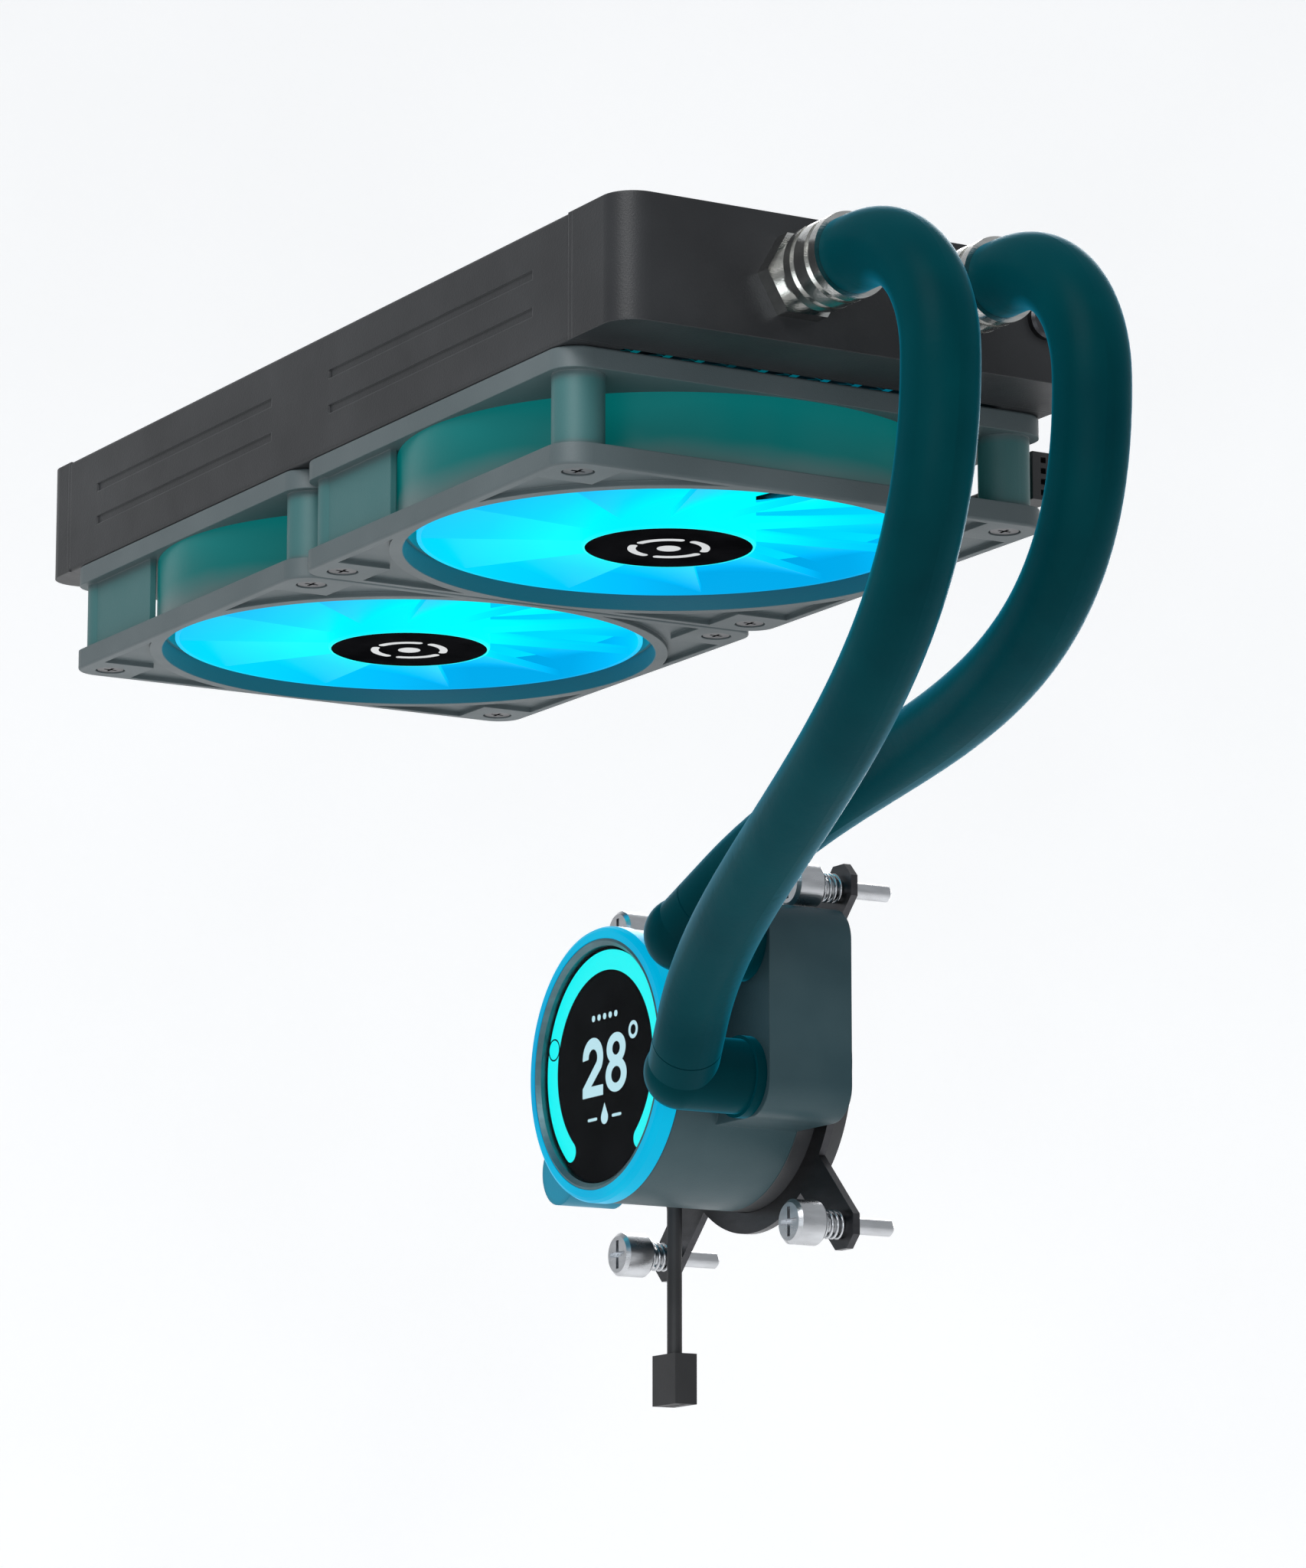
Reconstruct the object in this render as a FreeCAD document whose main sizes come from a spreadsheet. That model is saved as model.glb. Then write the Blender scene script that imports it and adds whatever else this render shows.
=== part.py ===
import FreeCAD, Part
import math
import os
import Sketcher

# Two-fan closed-loop liquid cooling radiator: a finned radiator, two axial fans hung under it, two hoses,
# and a round pump head with a display on its face and a copper cold plate on its back.
#
# Frame, in millimetres: the origin is the centre of the radiator's upper mounting face. +Z is up, +Y runs
# along the radiator from the port end to the return end, and +X points to the side the cold plate faces.

V = FreeCAD.Vector
doc = FreeCAD.newDocument("liquid_cooler")
sheet = doc.addObject("Spreadsheet::Sheet", "dims")

DRIVING = [
    ("fan_size", 119.6, "outside width of a square fan frame"),
    ("fan_pitch", 120.0, "centre distance of the two fans"),
    ("fan_depth", 25.0, "depth of a fan frame along its axis"),
    ("hole_pitch", 105.0, "side of the square of screw holes at one fan"),
    ("snug", 0.02, "gap between two parts that fit together"),
    ("flange_t", 4.6, "thickness of each square flange of the fan frame"),
    ("open_r", 57.8, "radius of the round air opening"),
    ("screw_hole_r", 2.15, "radius of a fan frame's screw hole"),
    ("post_r", 5.6, "radius of a frame's corner post"),
    ("cover_from", 21.0, "start of the cable cover, beside the fan's middle"),
    ("cover_t", 1.6, "thickness of the cable cover"),
    ("edge_round", 0.6, "rounding of a frame's outer edges"),
    ("corner_r", 6.5, "rounding of a frame's upright corners"),
    ("ring_wall", 1.3, "wall of the light ring"),
    ("hub_r", 19.0, "radius of the rotor's hub"),
    ("hub_wall", 1.5, "wall of the hub cup"),
    ("hub_low", 1.0, "height of the hub's face above the intake face"),
    ("hub_top", 18.6, "height of the hub cup's open end"),
    ("cap_r", 18.3, "radius of the hub's cover disc"),
    ("cap_t", 0.7, "thickness of the hub's cover disc"),
    ("blade_count", 11, "fan blades"),
    ("blade_r", 54.8, "radius of the blade tips"),
    ("blade_t", 1.5, "thickness of a blade"),
    ("blade_low", 3.2, "height of a blade's leading edge"),
    ("root_rise", 5.0, "rise of a blade across its width at the hub"),
    ("tip_rise", 4.6, "rise of a blade across its width at the tip"),
    ("hoop_t", 1.0, "wall of the hoop that joins the blade tips"),
    ("seat_r", 3.5, "radius of the seat round a fan screw's head"),
    ("seat_t", 2.0, "depth of that seat"),
    ("web_t", 1.1, "depth of the shallow triangles on the intake face"),
    ("screw_head_r", 3.1, "radius of a fan screw's head"),
    ("screw_head_t", 1.8, "height of a fan screw's head"),
    ("boss_r", 4.2, "radius of the tube round a fan's bearing"),
    ("boss_low", 6.4, "height of that tube's lower end"),
    ("bearing_r", 3.0, "outer radius of a fan's bearing"),
    ("bearing_low", 7.0, "height of a fan bearing's lower end"),
    ("bearing_top", 20.0, "height of a fan bearing's upper end"),
    ("shoulder_r", 6.6, "radius of the shoulder that carries the fan's board"),
    ("shoulder_low", 18.1, "height of that shoulder"),
    ("yoke_t", 0.8, "wall of the steel yoke in a hub"),
    ("magnet_t", 1.78, "wall of the ring magnet in a hub"),
    ("stator_low", 7.4, "height of the fan stator's underside"),
    ("stator_t", 6.0, "thickness of the fan stator's core"),
    ("shaft_r", 1.5, "radius of a fan's shaft"),
    ("base_r", 20.5, "radius of the motor base"),
    ("base_t", 3.4, "thickness of the motor base and struts"),
    ("rad_depth", 27.0, "depth of the radiator"),
    ("rail_t", 1.4, "web of a side rail"),
    ("rail_flange_t", 2.0, "flange of a side rail, tapped for the screws"),
    ("rail_flange_w", 13.8, "width of a side rail's flanges"),
    ("tap_r", 1.5, "radius of a tapped hole"),
    ("core_half", 121.0, "half length of the finned core"),
    ("core_depth", 18.0, "depth of the flat tubes and fins"),
    ("tube_count", 14, "flat tubes"),
    ("tube_t", 1.8, "thickness of a flat tube"),
    ("tube_bore", 1.1, "inner height of a flat tube"),
    ("fin_t", 0.15, "sheet thickness of the fins"),
    ("fin_wave", 4.0, "length of one whole fin fold along the core"),
    ("header_t", 1.5, "thickness of a header plate"),
    ("port_tank", 20.0, "length of the tank with the ports"),
    ("return_tank", 12.0, "length of the return tank"),
    ("tank_wall", 1.6, "wall of the tanks"),
    ("tank_round", 7.0, "rounding of the tanks' outer corners"),
    ("port_x", 18.0, "distance of each port from the middle"),
    ("port_len", 9.0, "length of a port fitting's collar"),
    ("port_hex_r", 9.6, "corner radius of a port fitting's hexagon"),
    ("port_sleeve_r", 7.2, "radius of the round part of a port fitting's collar"),
    ("plug_x", 43.2, "distance of the fill plug from the middle"),
    ("plug_r", 2.5, "radius of the fill plug's thread"),
    ("plug_head_r", 4.4, "radius of the fill plug's head"),
    ("barb_len", 14.0, "length of a hose barb"),
    ("barb_r", 4.8, "radius of a hose barb"),
    ("barb_bore", 3.4, "bore of a hose barb"),
    ("hose_r", 8.0, "outer radius of a sleeved hose"),
    ("hose_bore", 4.9, "bore radius of a hose"),
    ("hose_end", 9.0, "straight part of a hose beyond a barb's root"),
    ("hose_turn", 28.0, "radius of a hose's turn in front of its port"),
    ("ferrule_r", 9.1, "outer radius of a crimped hose ferrule"),
    ("ferrule_len", 12.0, "length of a hose ferrule"),
    ("crimp_depth", 0.5, "depth of the two crimps round a ferrule"),
    ("crimp_len", 1.6, "length of each crimp"),
    ("pump_x", 92.0, "X of the cold plate's face"),
    ("pump_y", 41.4, "Y of the pump head's axis"),
    ("pump_drop", 148.5, "depth of the pump head's axis below the radiator's top"),
    ("pump_r", 31.9, "radius of the pump body"),
    ("pump_h", 52.0, "height of the pump head from cold plate to display"),
    ("bezel_r", 32.2, "outer radius of the lit bezel"),
    ("bezel_in", 29.4, "inner radius of the lit bezel"),
    ("bezel_t", 4.6, "height of the lit bezel"),
    ("tray_r", 27.6, "radius of the display module and its tray"),
    ("tray_low", 37.5, "height of the tray's floor"),
    ("panel_low", 44.1, "height of the display module's underside"),
    ("plate_r", 28.0, "radius of the cold plate"),
    ("plate_t", 3.0, "thickness of the cold plate"),
    ("plate_screw_ring", 24.6, "radius of the circle of cold plate screws"),
    ("seal_in", 20.6, "inner radius of the cold plate's seal"),
    ("seal_out", 21.8, "outer radius of the cold plate's seal"),
    ("chamber_r", 13.0, "radius of the impeller's chamber"),
    ("impeller_r", 11.6, "radius of the impeller"),
    ("drive_r", 7.8, "radius of the impeller's magnet"),
    ("pin_r", 1.2, "radius of the impeller's pin"),
    ("can_in", 8.4, "inner radius of the rotor can"),
    ("can_out", 9.0, "outer radius of the rotor can"),
    ("can_top", 28.4, "top of the rotor can"),
    ("can_rim_r", 14.6, "radius of the rotor can's rim"),
    ("drum_bore", 15.2, "radius of the drum's bore round the coils"),
    ("base_top", 14.0, "top of the pump base above the cold plate's face"),
    ("bracket_ring_r", 37.0, "outer radius of the retention bracket's ring"),
    ("lug_half", 39.0, "half of the square of mounting screws"),
    ("bracket_low", 8.0, "underside of the retention bracket"),
    ("bracket_t", 1.8, "thickness of the retention bracket"),
    ("screw_r", 1.95, "radius of a mounting screw"),
    ("thumb_r", 5.2, "radius of a mounting screw's head"),
    ("thumb_h", 7.4, "height of a mounting screw's head"),
    ("collar_r", 3.1, "radius of the collar that keeps a mounting screw captive"),
    ("spring_len", 6.4, "relaxed length of a mounting spring"),
    ("spring_r", 3.1, "radius of a spring's coils to the middle of the wire"),
    ("spring_wire_r", 0.36, "radius of the spring wire"),
    ("elbow_x", 40.8, "distance of the elbows' turns from the pump axis, towards the ports"),
    ("elbow_mid", 8.75, "height of the middle between the elbows above the pump axis"),
    ("elbow_half", 15.75, "half distance of the two elbows"),
    ("elbow_z", 53.0, "height of the elbows' turns above the cold plate's face"),
    ("elbow_r", 8.6, "radius of an elbow's round turn"),
    ("spigot_len", 10.0, "distance from an elbow's turn to its hose end"),
    ("ear_top", 36.0, "height of the elbows' seat above the cold plate's face"),
    ("ear_margin", 10.4, "reach of the elbows' seat beyond the elbows' turns"),
    ("ear_round", 8.0, "rounding of the elbows' seat"),
    ("seat_ring_r", 9.4, "radius of the ring at an elbow's foot"),
    ("seat_ring_t", 2.4, "height of the ring at an elbow's foot"),
    ("socket_depth", 10.0, "depth of an elbow's socket"),
    ("lobe_r", 8.2, "radius of the round lobe beside the drum"),
    ("lobe_x", 27.6, "distance of the lobe from the pump axis, away from the ports"),
    ("lobe_y", 21.5, "distance of the lobe below the pump axis"),
    ("lobe_low", 31.0, "height of the lobe's back"),
    ("cable_r", 1.8, "radius of the pump's cable"),
    ("socket_r", 5.0, "radius of an elbow's socket"),
    ("passage_r", 2.6, "radius of the coolant passages in the pump"),
]


class Size:
    """A length that knows its number and the sheet expression behind it."""

    def __init__(self, value, text):
        self.value = value
        self.text = text

    def _join(self, other, sign, value):
        other = as_size(other)
        return Size(value, f"({self.text} {sign} {other.text})")

    def __add__(self, other):
        return self._join(other, "+", self.value + as_size(other).value)

    def __sub__(self, other):
        return self._join(other, "-", self.value - as_size(other).value)

    def __mul__(self, other):
        return self._join(other, "*", self.value * as_size(other).value)

    def __truediv__(self, other):
        return self._join(other, "/", self.value / as_size(other).value)

    def __radd__(self, other):
        return as_size(other) + self

    def __rsub__(self, other):
        return as_size(other) - self

    def __rmul__(self, other):
        return as_size(other) * self

    def __neg__(self):
        return as_size(0) - self


def as_size(length):
    if isinstance(length, Size):
        return length
    return Size(float(length), repr(float(length)))


class Sheet:
    """The driving dimensions by name."""


D = Sheet()
for line, (alias, number, words) in enumerate(DRIVING, start=1):
    sheet.set(f"A{line}", words)
    sheet.set(f"B{line}", str(number))
    sheet.setAlias(f"B{line}", alias)
    setattr(D, alias, Size(number, f"dims.{alias}"))
doc.recompute()

nodes = {}


# ---------------------------------------------------------------- building blocks


def bind(thing, prop, length):
    thing.setExpression(prop, as_size(length).text)


def place(thing, x=0, y=0, z=0, turn=None):
    thing.Placement = FreeCAD.Placement(V(0, 0, 0), turn or FreeCAD.Rotation())
    for axis, length in zip("xyz", (x, y, z)):
        bind(thing, f"Placement.Base.{axis}", length)


def new_body(label, x=0, y=0, z=0, turn=None):
    body = doc.addObject("PartDesign::Body", label)
    body.Label = label
    place(body, x, y, z, turn)
    nodes[label] = body
    return body


def sketch_on(body, role, height=0):
    """An empty sketch on one of the body's own origin planes, raised along the plane's normal."""
    plane = next(f for f in body.Origin.OriginFeatures if f.Role == role)
    sketch = body.newObject("Sketcher::SketchObject", body.Label + "_sketch")
    sketch.AttachmentSupport = [(plane, "")]
    sketch.MapMode = "FlatFace"
    bind(sketch, "AttachmentOffset.Base.z", height)
    return sketch


def fix(sketch, kind, *where_and_size):
    *where, length = where_and_size
    length = as_size(length)
    index = sketch.addConstraint(Sketcher.Constraint(kind, *where, length.value))
    if "dims." in length.text:
        sketch.setExpression(f"Constraints[{index}]", length.text)


def fix_point(sketch, item, end, x, y):
    """Holds one point of a sketch item at (x, y) from the sketch's origin."""
    for kind, axis, length in (("DistanceX", -2, as_size(x)), ("DistanceY", -1, as_size(y))):
        if abs(length.value) < 1e-9:
            sketch.addConstraint(Sketcher.Constraint("PointOnObject", item, end, axis))
        else:
            fix(sketch, kind, -1, 1, item, end, length)


def circle(sketch, radius, x=0, y=0):
    centre = V(as_size(x).value, as_size(y).value, 0)
    item = sketch.addGeometry(Part.Circle(centre, V(0, 0, 1), as_size(radius).value))
    fix(sketch, "Radius", item, radius)
    fix_point(sketch, item, 3, x, y)


def outline(sketch, points, arcs=()):
    """A closed outline through points given as sizes. Edges are numbered from 0, each from its point to the
    next. Those named in arcs run anticlockwise round the sketch's origin, and the others are straight."""
    spots = [V(as_size(x).value, as_size(y).value, 0) for x, y in points]
    lines = []
    for number, (start, end) in enumerate(zip(spots, spots[1:] + spots[:1])):
        edge = Part.LineSegment(start, end)
        if number in arcs:
            crown = (start + end).normalize() * start.Length
            edge = Part.Arc(start, crown, end)
        lines.append(sketch.addGeometry(edge))
    for this, following in zip(lines, lines[1:] + lines[:1]):
        sketch.addConstraint(Sketcher.Constraint("Coincident", this, 2, following, 1))
    for item, (x, y) in zip(lines, points):
        fix_point(sketch, item, 1, x, y)
    for number in arcs:
        sketch.addConstraint(Sketcher.Constraint("PointOnObject", lines[number], 3, -1))


def box_outline(sketch, x_low, y_low, x_high, y_high):
    outline(sketch, [(x_low, y_low), (x_high, y_low), (x_high, y_high), (x_low, y_high)])


def extrude(kind, body, sketch, length, flip=False, both=False):
    feature = body.newObject(kind, body.Label + "_step")
    feature.Profile = sketch
    bind(feature, "Length", length)
    feature.Reversed = flip
    if both:
        feature.SideType = "Symmetric"
    sketch.Visibility = False
    return feature


def pad(body, sketch, length, flip=False, both=False):
    return extrude("PartDesign::Pad", body, sketch, length, flip, both)


def pocket(body, sketch, length, flip=False, both=False):
    """A cut that must remove something: it stops the build when it points away from the solid."""
    doc.recompute()
    before = body.Shape.Volume
    feature = extrude("PartDesign::Pocket", body, sketch, length, flip, both)
    doc.recompute()
    if body.Shape.Volume > before - 1e-6:
        raise RuntimeError(f"a pocket in {body.Label} removed nothing")
    return feature


def revolve(body, points, height=0):
    """Turns a closed outline of (radius, z) points round the body's Z axis."""
    sketch = sketch_on(body, "XZ_Plane", height)
    outline(sketch, points)
    feature = body.newObject("PartDesign::Revolution", body.Label + "_turned")
    feature.Profile = sketch
    feature.ReferenceAxis = (sketch, ["V_Axis"])
    feature.Angle = 360
    return feature


def round_pattern(body, features, count):
    """Repeats features round the body's Z axis."""
    pattern = body.newObject("PartDesign::PolarPattern", body.Label + "_round")
    pattern.Originals = features
    axis = next(f for f in body.Origin.OriginFeatures if f.Role == "Z_Axis")
    pattern.Axis = (axis, [""])
    pattern.Angle = 360
    bind(pattern, "Occurrences", count)
    body.Tip = pattern
    return pattern


def row_pattern(body, features, role, reach, count):
    """Repeats features in a straight row along one of the body's own axes."""
    pattern = body.newObject("PartDesign::LinearPattern", body.Label + "_row")
    pattern.Originals = features
    axis = next(f for f in body.Origin.OriginFeatures if f.Role == role)
    pattern.Direction = (axis, [""])
    bind(pattern, "Length", reach)
    bind(pattern, "Occurrences", count)
    body.Tip = pattern
    return pattern


def round_edges(body, radius, chosen):
    """Fillets the edges of the body's last step for which chosen(edge) is true."""
    doc.recompute()
    last = body.Tip
    names = [f"Edge{i}" for i, edge in enumerate(last.Shape.Edges, start=1) if chosen(edge)]
    if not names:
        raise RuntimeError(f"no edge of {body.Label} was chosen for rounding")
    fillet = body.newObject("PartDesign::Fillet", body.Label + "_rounded")
    fillet.Base = (last, names)
    bind(fillet, "Radius", radius)
    return fillet


def upright(edge):
    """True for a straight edge along Z."""
    ends = [vertex.Point for vertex in edge.Vertexes]
    return len(ends) == 2 and abs(ends[0].x - ends[1].x) + abs(ends[0].y - ends[1].y) < 1e-6


def leg(hypotenuse, other):
    """The second leg of a right triangle, as a size bound to both given ones."""
    hypotenuse = as_size(hypotenuse)
    other = as_size(other)
    length = math.sqrt(hypotenuse.value ** 2 - other.value ** 2)
    return Size(length, f"sqrt(({hypotenuse.text}) ^ 2 - ({other.text}) ^ 2)")


def on_rim(edge, half, heights):
    """True for an edge of the square outline at one of the given heights."""
    points = [vertex.Point for vertex in edge.Vertexes]
    on_side = all(max(abs(point.x), abs(point.y)) > half - 1e-3 for point in points)
    return on_side and any(all(abs(point.z - height) < 1e-6 for point in points) for height in heights)


def at_corner(edge, half_x, half_y):
    point = edge.Vertexes[0].Point
    return upright(edge) and abs(abs(point.x) - half_x) < 1e-3 and abs(abs(point.y) - half_y) < 1e-3


def plain_part(label, shape, x=0, y=0, z=0, turn=None):
    """A node whose shape is made with Part's own functions."""
    feature = doc.addObject("Part::Feature", label)
    feature.Label = label
    feature.Shape = shape
    place(feature, x, y, z, turn)
    nodes[label] = feature
    return feature


# ---------------------------------------------------------------- radiator

RAIL_IN = D.fan_size / 2 - D.rail_flange_w
TUBE_PITCH = (D.fan_size - 2 * D.rail_t) / (D.tube_count + 1)
HEADER_OUT = D.core_half + D.header_t


def side_rails():
    """Two channels along the core. Their flanges carry the tapped holes for the fans and for the case."""
    body = new_body("side_rails")
    top_in = -D.rail_flange_t
    low_in = D.rail_flange_t - D.rad_depth
    for side in (-1, 1):
        web = side * D.fan_size / 2
        inner = side * (D.fan_size / 2 - D.rail_t)
        lip = side * RAIL_IN
        profile = sketch_on(body, "XZ_Plane")
        outline(
            profile,
            [
                (web, 0), (lip, 0), (lip, top_in), (inner, top_in),
                (inner, low_in), (lip, low_in), (lip, -D.rad_depth), (web, -D.rad_depth),
            ],
        )
        pad(body, profile, 2 * D.core_half, both=True)
    half = D.fan_size.value / 2
    long_edges = (0, -D.rad_depth.value)
    round_edges(body, 0.8, lambda edge: edge.Length > 200 and on_rim(edge, half, long_edges))
    for side in (-1, 1):
        ribs = sketch_on(body, "YZ_Plane", side * (D.fan_size / 2 - 0.4))
        for centre in (-D.fan_pitch / 2, D.fan_pitch / 2):
            for height in (-9.5, -17.5):
                box_outline(ribs, centre - 46.0, height - 1.0, centre + 46.0, height + 1.0)
        pocket(body, ribs, 1.0, flip=side > 0)
    holes = sketch_on(body, "XY_Plane")
    for side in (-1, 1):
        for fan_side in (-1, 1):
            for hole_side in (-1, 1):
                along = fan_side * D.fan_pitch / 2 + hole_side * D.hole_pitch / 2
                circle(holes, D.tap_r, side * D.hole_pitch / 2, along)
    pocket(body, holes, D.rad_depth)


def header_plates():
    """Both header plates: the flat tubes pass through their slots."""
    body = new_body("header_plates")
    for end in (-1, 1):
        face = sketch_on(body, "XZ_Plane", -end * (D.core_half + D.header_t / 2))
        box_outline(face, -D.fan_size / 2, -D.rad_depth, D.fan_size / 2, 0)
        pad(body, face, D.header_t, both=True)
    slot = sketch_on(body, "XZ_Plane")
    first = -TUBE_PITCH * (D.tube_count - 1) / 2
    middle = -D.rad_depth / 2
    gap = D.tube_t / 2 + D.snug
    half_d = D.core_depth / 2 + D.snug
    box_outline(slot, first - gap, middle - half_d, first + gap, middle + half_d)
    cut = pocket(body, slot, 2 * HEADER_OUT + 2, both=True)
    row_pattern(body, [cut], "X_Axis", TUBE_PITCH * (D.tube_count - 1), D.tube_count)


def flat_tubes():
    """Flat tubes along the core, each open from tank to tank and with rounded long edges."""
    body = new_body("flat_tubes")
    face = sketch_on(body, "XZ_Plane")
    first = -TUBE_PITCH * (D.tube_count - 1) / 2
    middle = -D.rad_depth / 2
    half_t = D.tube_t / 2
    half_d = D.core_depth / 2
    wall = (D.tube_t - D.tube_bore) / 2
    for inset in (0, wall):
        reach_x = half_t - inset
        reach_z = half_d - inset
        box_outline(face, first - reach_x, middle - reach_z, first + reach_x, middle + reach_z)
    tube = pad(body, face, 2 * HEADER_OUT + 2, both=True)
    row_pattern(body, [tube], "X_Axis", TUBE_PITCH * (D.tube_count - 1), D.tube_count)


def folded_fins():
    """Folded fin strips, one in each gap between tubes and one outside each outer tube."""
    strip_count = int(D.tube_count.value) + 1
    clear = 0.03
    half_gap = (TUBE_PITCH.value - D.tube_t.value) / 2 - clear
    half_wave = D.fin_wave.value / 2
    folds = int(2 * D.core_half.value / half_wave) - 1
    slant = math.hypot(2 * half_gap, half_wave) / half_wave
    width = D.fin_t.value * slant
    low = -(D.rad_depth.value + D.core_depth.value) / 2
    left = []
    right = []
    for fold in range(folds + 1):
        y = (fold - folds / 2) * half_wave
        high_side = fold % 2 == 1
        left.append(V(half_gap - width if high_side else -half_gap, y, low))
        right.append(V(half_gap if high_side else width - half_gap, y, low))
    ring = left + right[::-1]
    strip = Part.Face(Part.makePolygon(ring + ring[:1])).extrude(V(0, 0, D.core_depth.value))
    strips = []
    for number in range(strip_count):
        copy = strip.copy()
        copy.translate(V((number - (strip_count - 1) / 2) * TUBE_PITCH.value, 0, 0))
        strips.append(copy)
    plain_part("cooling_fins", Part.makeCompound(strips))


def tank(label, end, length, divided):
    """A hollow end tank, open to the core. The port tank has a dividing wall and holes for ports and plug."""
    body = new_body(label)
    near = end * HEADER_OUT
    far = end * (HEADER_OUT + length)
    shell = sketch_on(body, "XY_Plane")
    box_outline(shell, -D.fan_size / 2, min_size(near, far), D.fan_size / 2, max_size(near, far))
    pad(body, shell, D.rad_depth, flip=True)
    far_y = abs(far.value)
    half = D.fan_size.value / 2
    round_edges(body, D.tank_round, lambda edge: at_corner(edge, half, far_y))
    hollow = sketch_on(body, "XY_Plane", -D.tank_wall)
    wall_far = end * (HEADER_OUT + length - D.tank_wall)
    edge_x = D.fan_size / 2 - D.tank_wall
    round_in = end * (D.tank_round - D.tank_wall)
    cut_in = D.tank_round - D.tank_wall

    def chamber(x_low, x_high, low_round, high_round):
        points = [(x_low, near), (x_high, near)]
        if high_round:
            points += [(x_high, wall_far - round_in), (x_high - cut_in, wall_far)]
        else:
            points += [(x_high, wall_far)]
        if low_round:
            points += [(x_low + cut_in, wall_far), (x_low, wall_far - round_in)]
        else:
            points += [(x_low, wall_far)]
        outline(hollow, points)

    if divided:
        chamber(-edge_x, -D.tank_wall / 2, True, False)
        chamber(D.tank_wall / 2, edge_x, False, True)
    else:
        chamber(-edge_x, edge_x, True, True)
    pocket(body, hollow, D.rad_depth - 2 * D.tank_wall)
    if divided:
        holes = sketch_on(body, "XZ_Plane", -far - D.tank_wall * 2)
        for side in (-1, 1):
            circle(holes, D.barb_r + D.snug, side * D.port_x, -D.rad_depth / 2)
        circle(holes, D.plug_r + D.snug, D.plug_x, -D.rad_depth / 2)
        pocket(body, holes, D.tank_wall * 4, both=True)


def min_size(first, second):
    return first if first.value < second.value else second


def max_size(first, second):
    return first if first.value > second.value else second


PORT_FACE = HEADER_OUT + D.port_tank
FACING_PORT = FreeCAD.Rotation(V(1, 0, 0), 90)  # local +Z becomes -Y


def hexagon(sketch, corner_r, x=0):
    """A hexagon with a corner on the X axis."""
    flat = corner_r * math.cos(math.radians(30))
    half = corner_r / 2
    outline(
        sketch,
        [
            (x + corner_r, 0), (x + half, flat), (x - half, flat),
            (x - corner_r, 0), (x - half, -flat), (x + half, -flat),
        ],
    )


def port_fittings():
    """Two hexagonal port collars with hose barbs."""
    body = new_body("port_fittings", 0, -PORT_FACE, -D.rad_depth / 2, FACING_PORT)
    hex_len = D.port_len * 0.45
    for side in (-1, 1):
        x = side * D.port_x
        collar = sketch_on(body, "XY_Plane")
        hexagon(collar, D.port_hex_r, x)
        circle(collar, D.barb_bore, x)
        pad(body, collar, hex_len)
        tubes = ((-D.tank_wall, D.barb_r, D.tank_wall), (hex_len, D.port_sleeve_r, D.port_len - hex_len),
                 (D.port_len, D.barb_r, D.barb_len))
        for low, radius, length in tubes:
            tube = sketch_on(body, "XY_Plane", low)
            circle(tube, radius, x)
            circle(tube, D.barb_bore, x)
            pad(body, tube, length)


def fill_plug():
    """The screwed plug of the coolant fill hole, with a hexagon socket."""
    body = new_body("fill_plug", D.plug_x, -PORT_FACE, -D.rad_depth / 2, FACING_PORT)
    thread_low = -4.0
    head_top = 2.0
    bevel = 0.6
    revolve(
        body,
        [
            (0, thread_low), (D.plug_r, thread_low), (D.plug_r, 0), (D.plug_head_r, 0),
            (D.plug_head_r, head_top - bevel), (D.plug_head_r - bevel, head_top), (0, head_top),
        ],
    )
    socket = sketch_on(body, "XY_Plane", head_top)
    hexagon(socket, 1.5)
    pocket(body, socket, 1.4)


def radiator():
    side_rails()
    header_plates()
    flat_tubes()
    folded_fins()
    tank("port_tank", -1, D.port_tank, True)
    tank("return_tank", 1, D.return_tank, False)
    port_fittings()
    fill_plug()


# ---------------------------------------------------------------- fans

FAN_LOW = -(D.rad_depth + D.fan_depth)
UPPER_FLANGE = D.fan_depth - D.flange_t
BASE_LOW = D.fan_depth - D.base_t


def fan_frame(label, y):
    """Two square flanges joined by corner posts, with four struts that carry the motor base."""
    body = new_body(label, 0, y, FAN_LOW)
    half = D.fan_size / 2
    hole = D.hole_pitch / 2
    between = UPPER_FLANGE - D.flange_t
    for low in (0, UPPER_FLANGE):
        face = sketch_on(body, "XY_Plane", low)
        box_outline(face, -half, -half, half, half)
        circle(face, D.open_r)
        pad(body, face, D.flange_t)
        if low == 0:
            post = sketch_on(body, "XY_Plane", D.flange_t)
            circle(post, D.post_r, hole, hole)
            round_pattern(body, [pad(body, post, between)], 4)
    # Cable cover: a flat wall between the flanges beside the post at the return end.
    cover = sketch_on(body, "XY_Plane", D.flange_t)
    cover_in = 2.4 - half
    box_outline(cover, cover_in, D.cover_from, cover_in + D.cover_t, hole)
    pad(body, cover, between)
    motor_base(body)
    corner_details(body, half, hole)
    size = half.value
    round_edges(body, D.corner_r, lambda edge: at_corner(edge, size, size))
    round_edges(body, D.edge_round, lambda edge: on_rim(edge, size, (0, D.fan_depth.value)))


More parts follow.
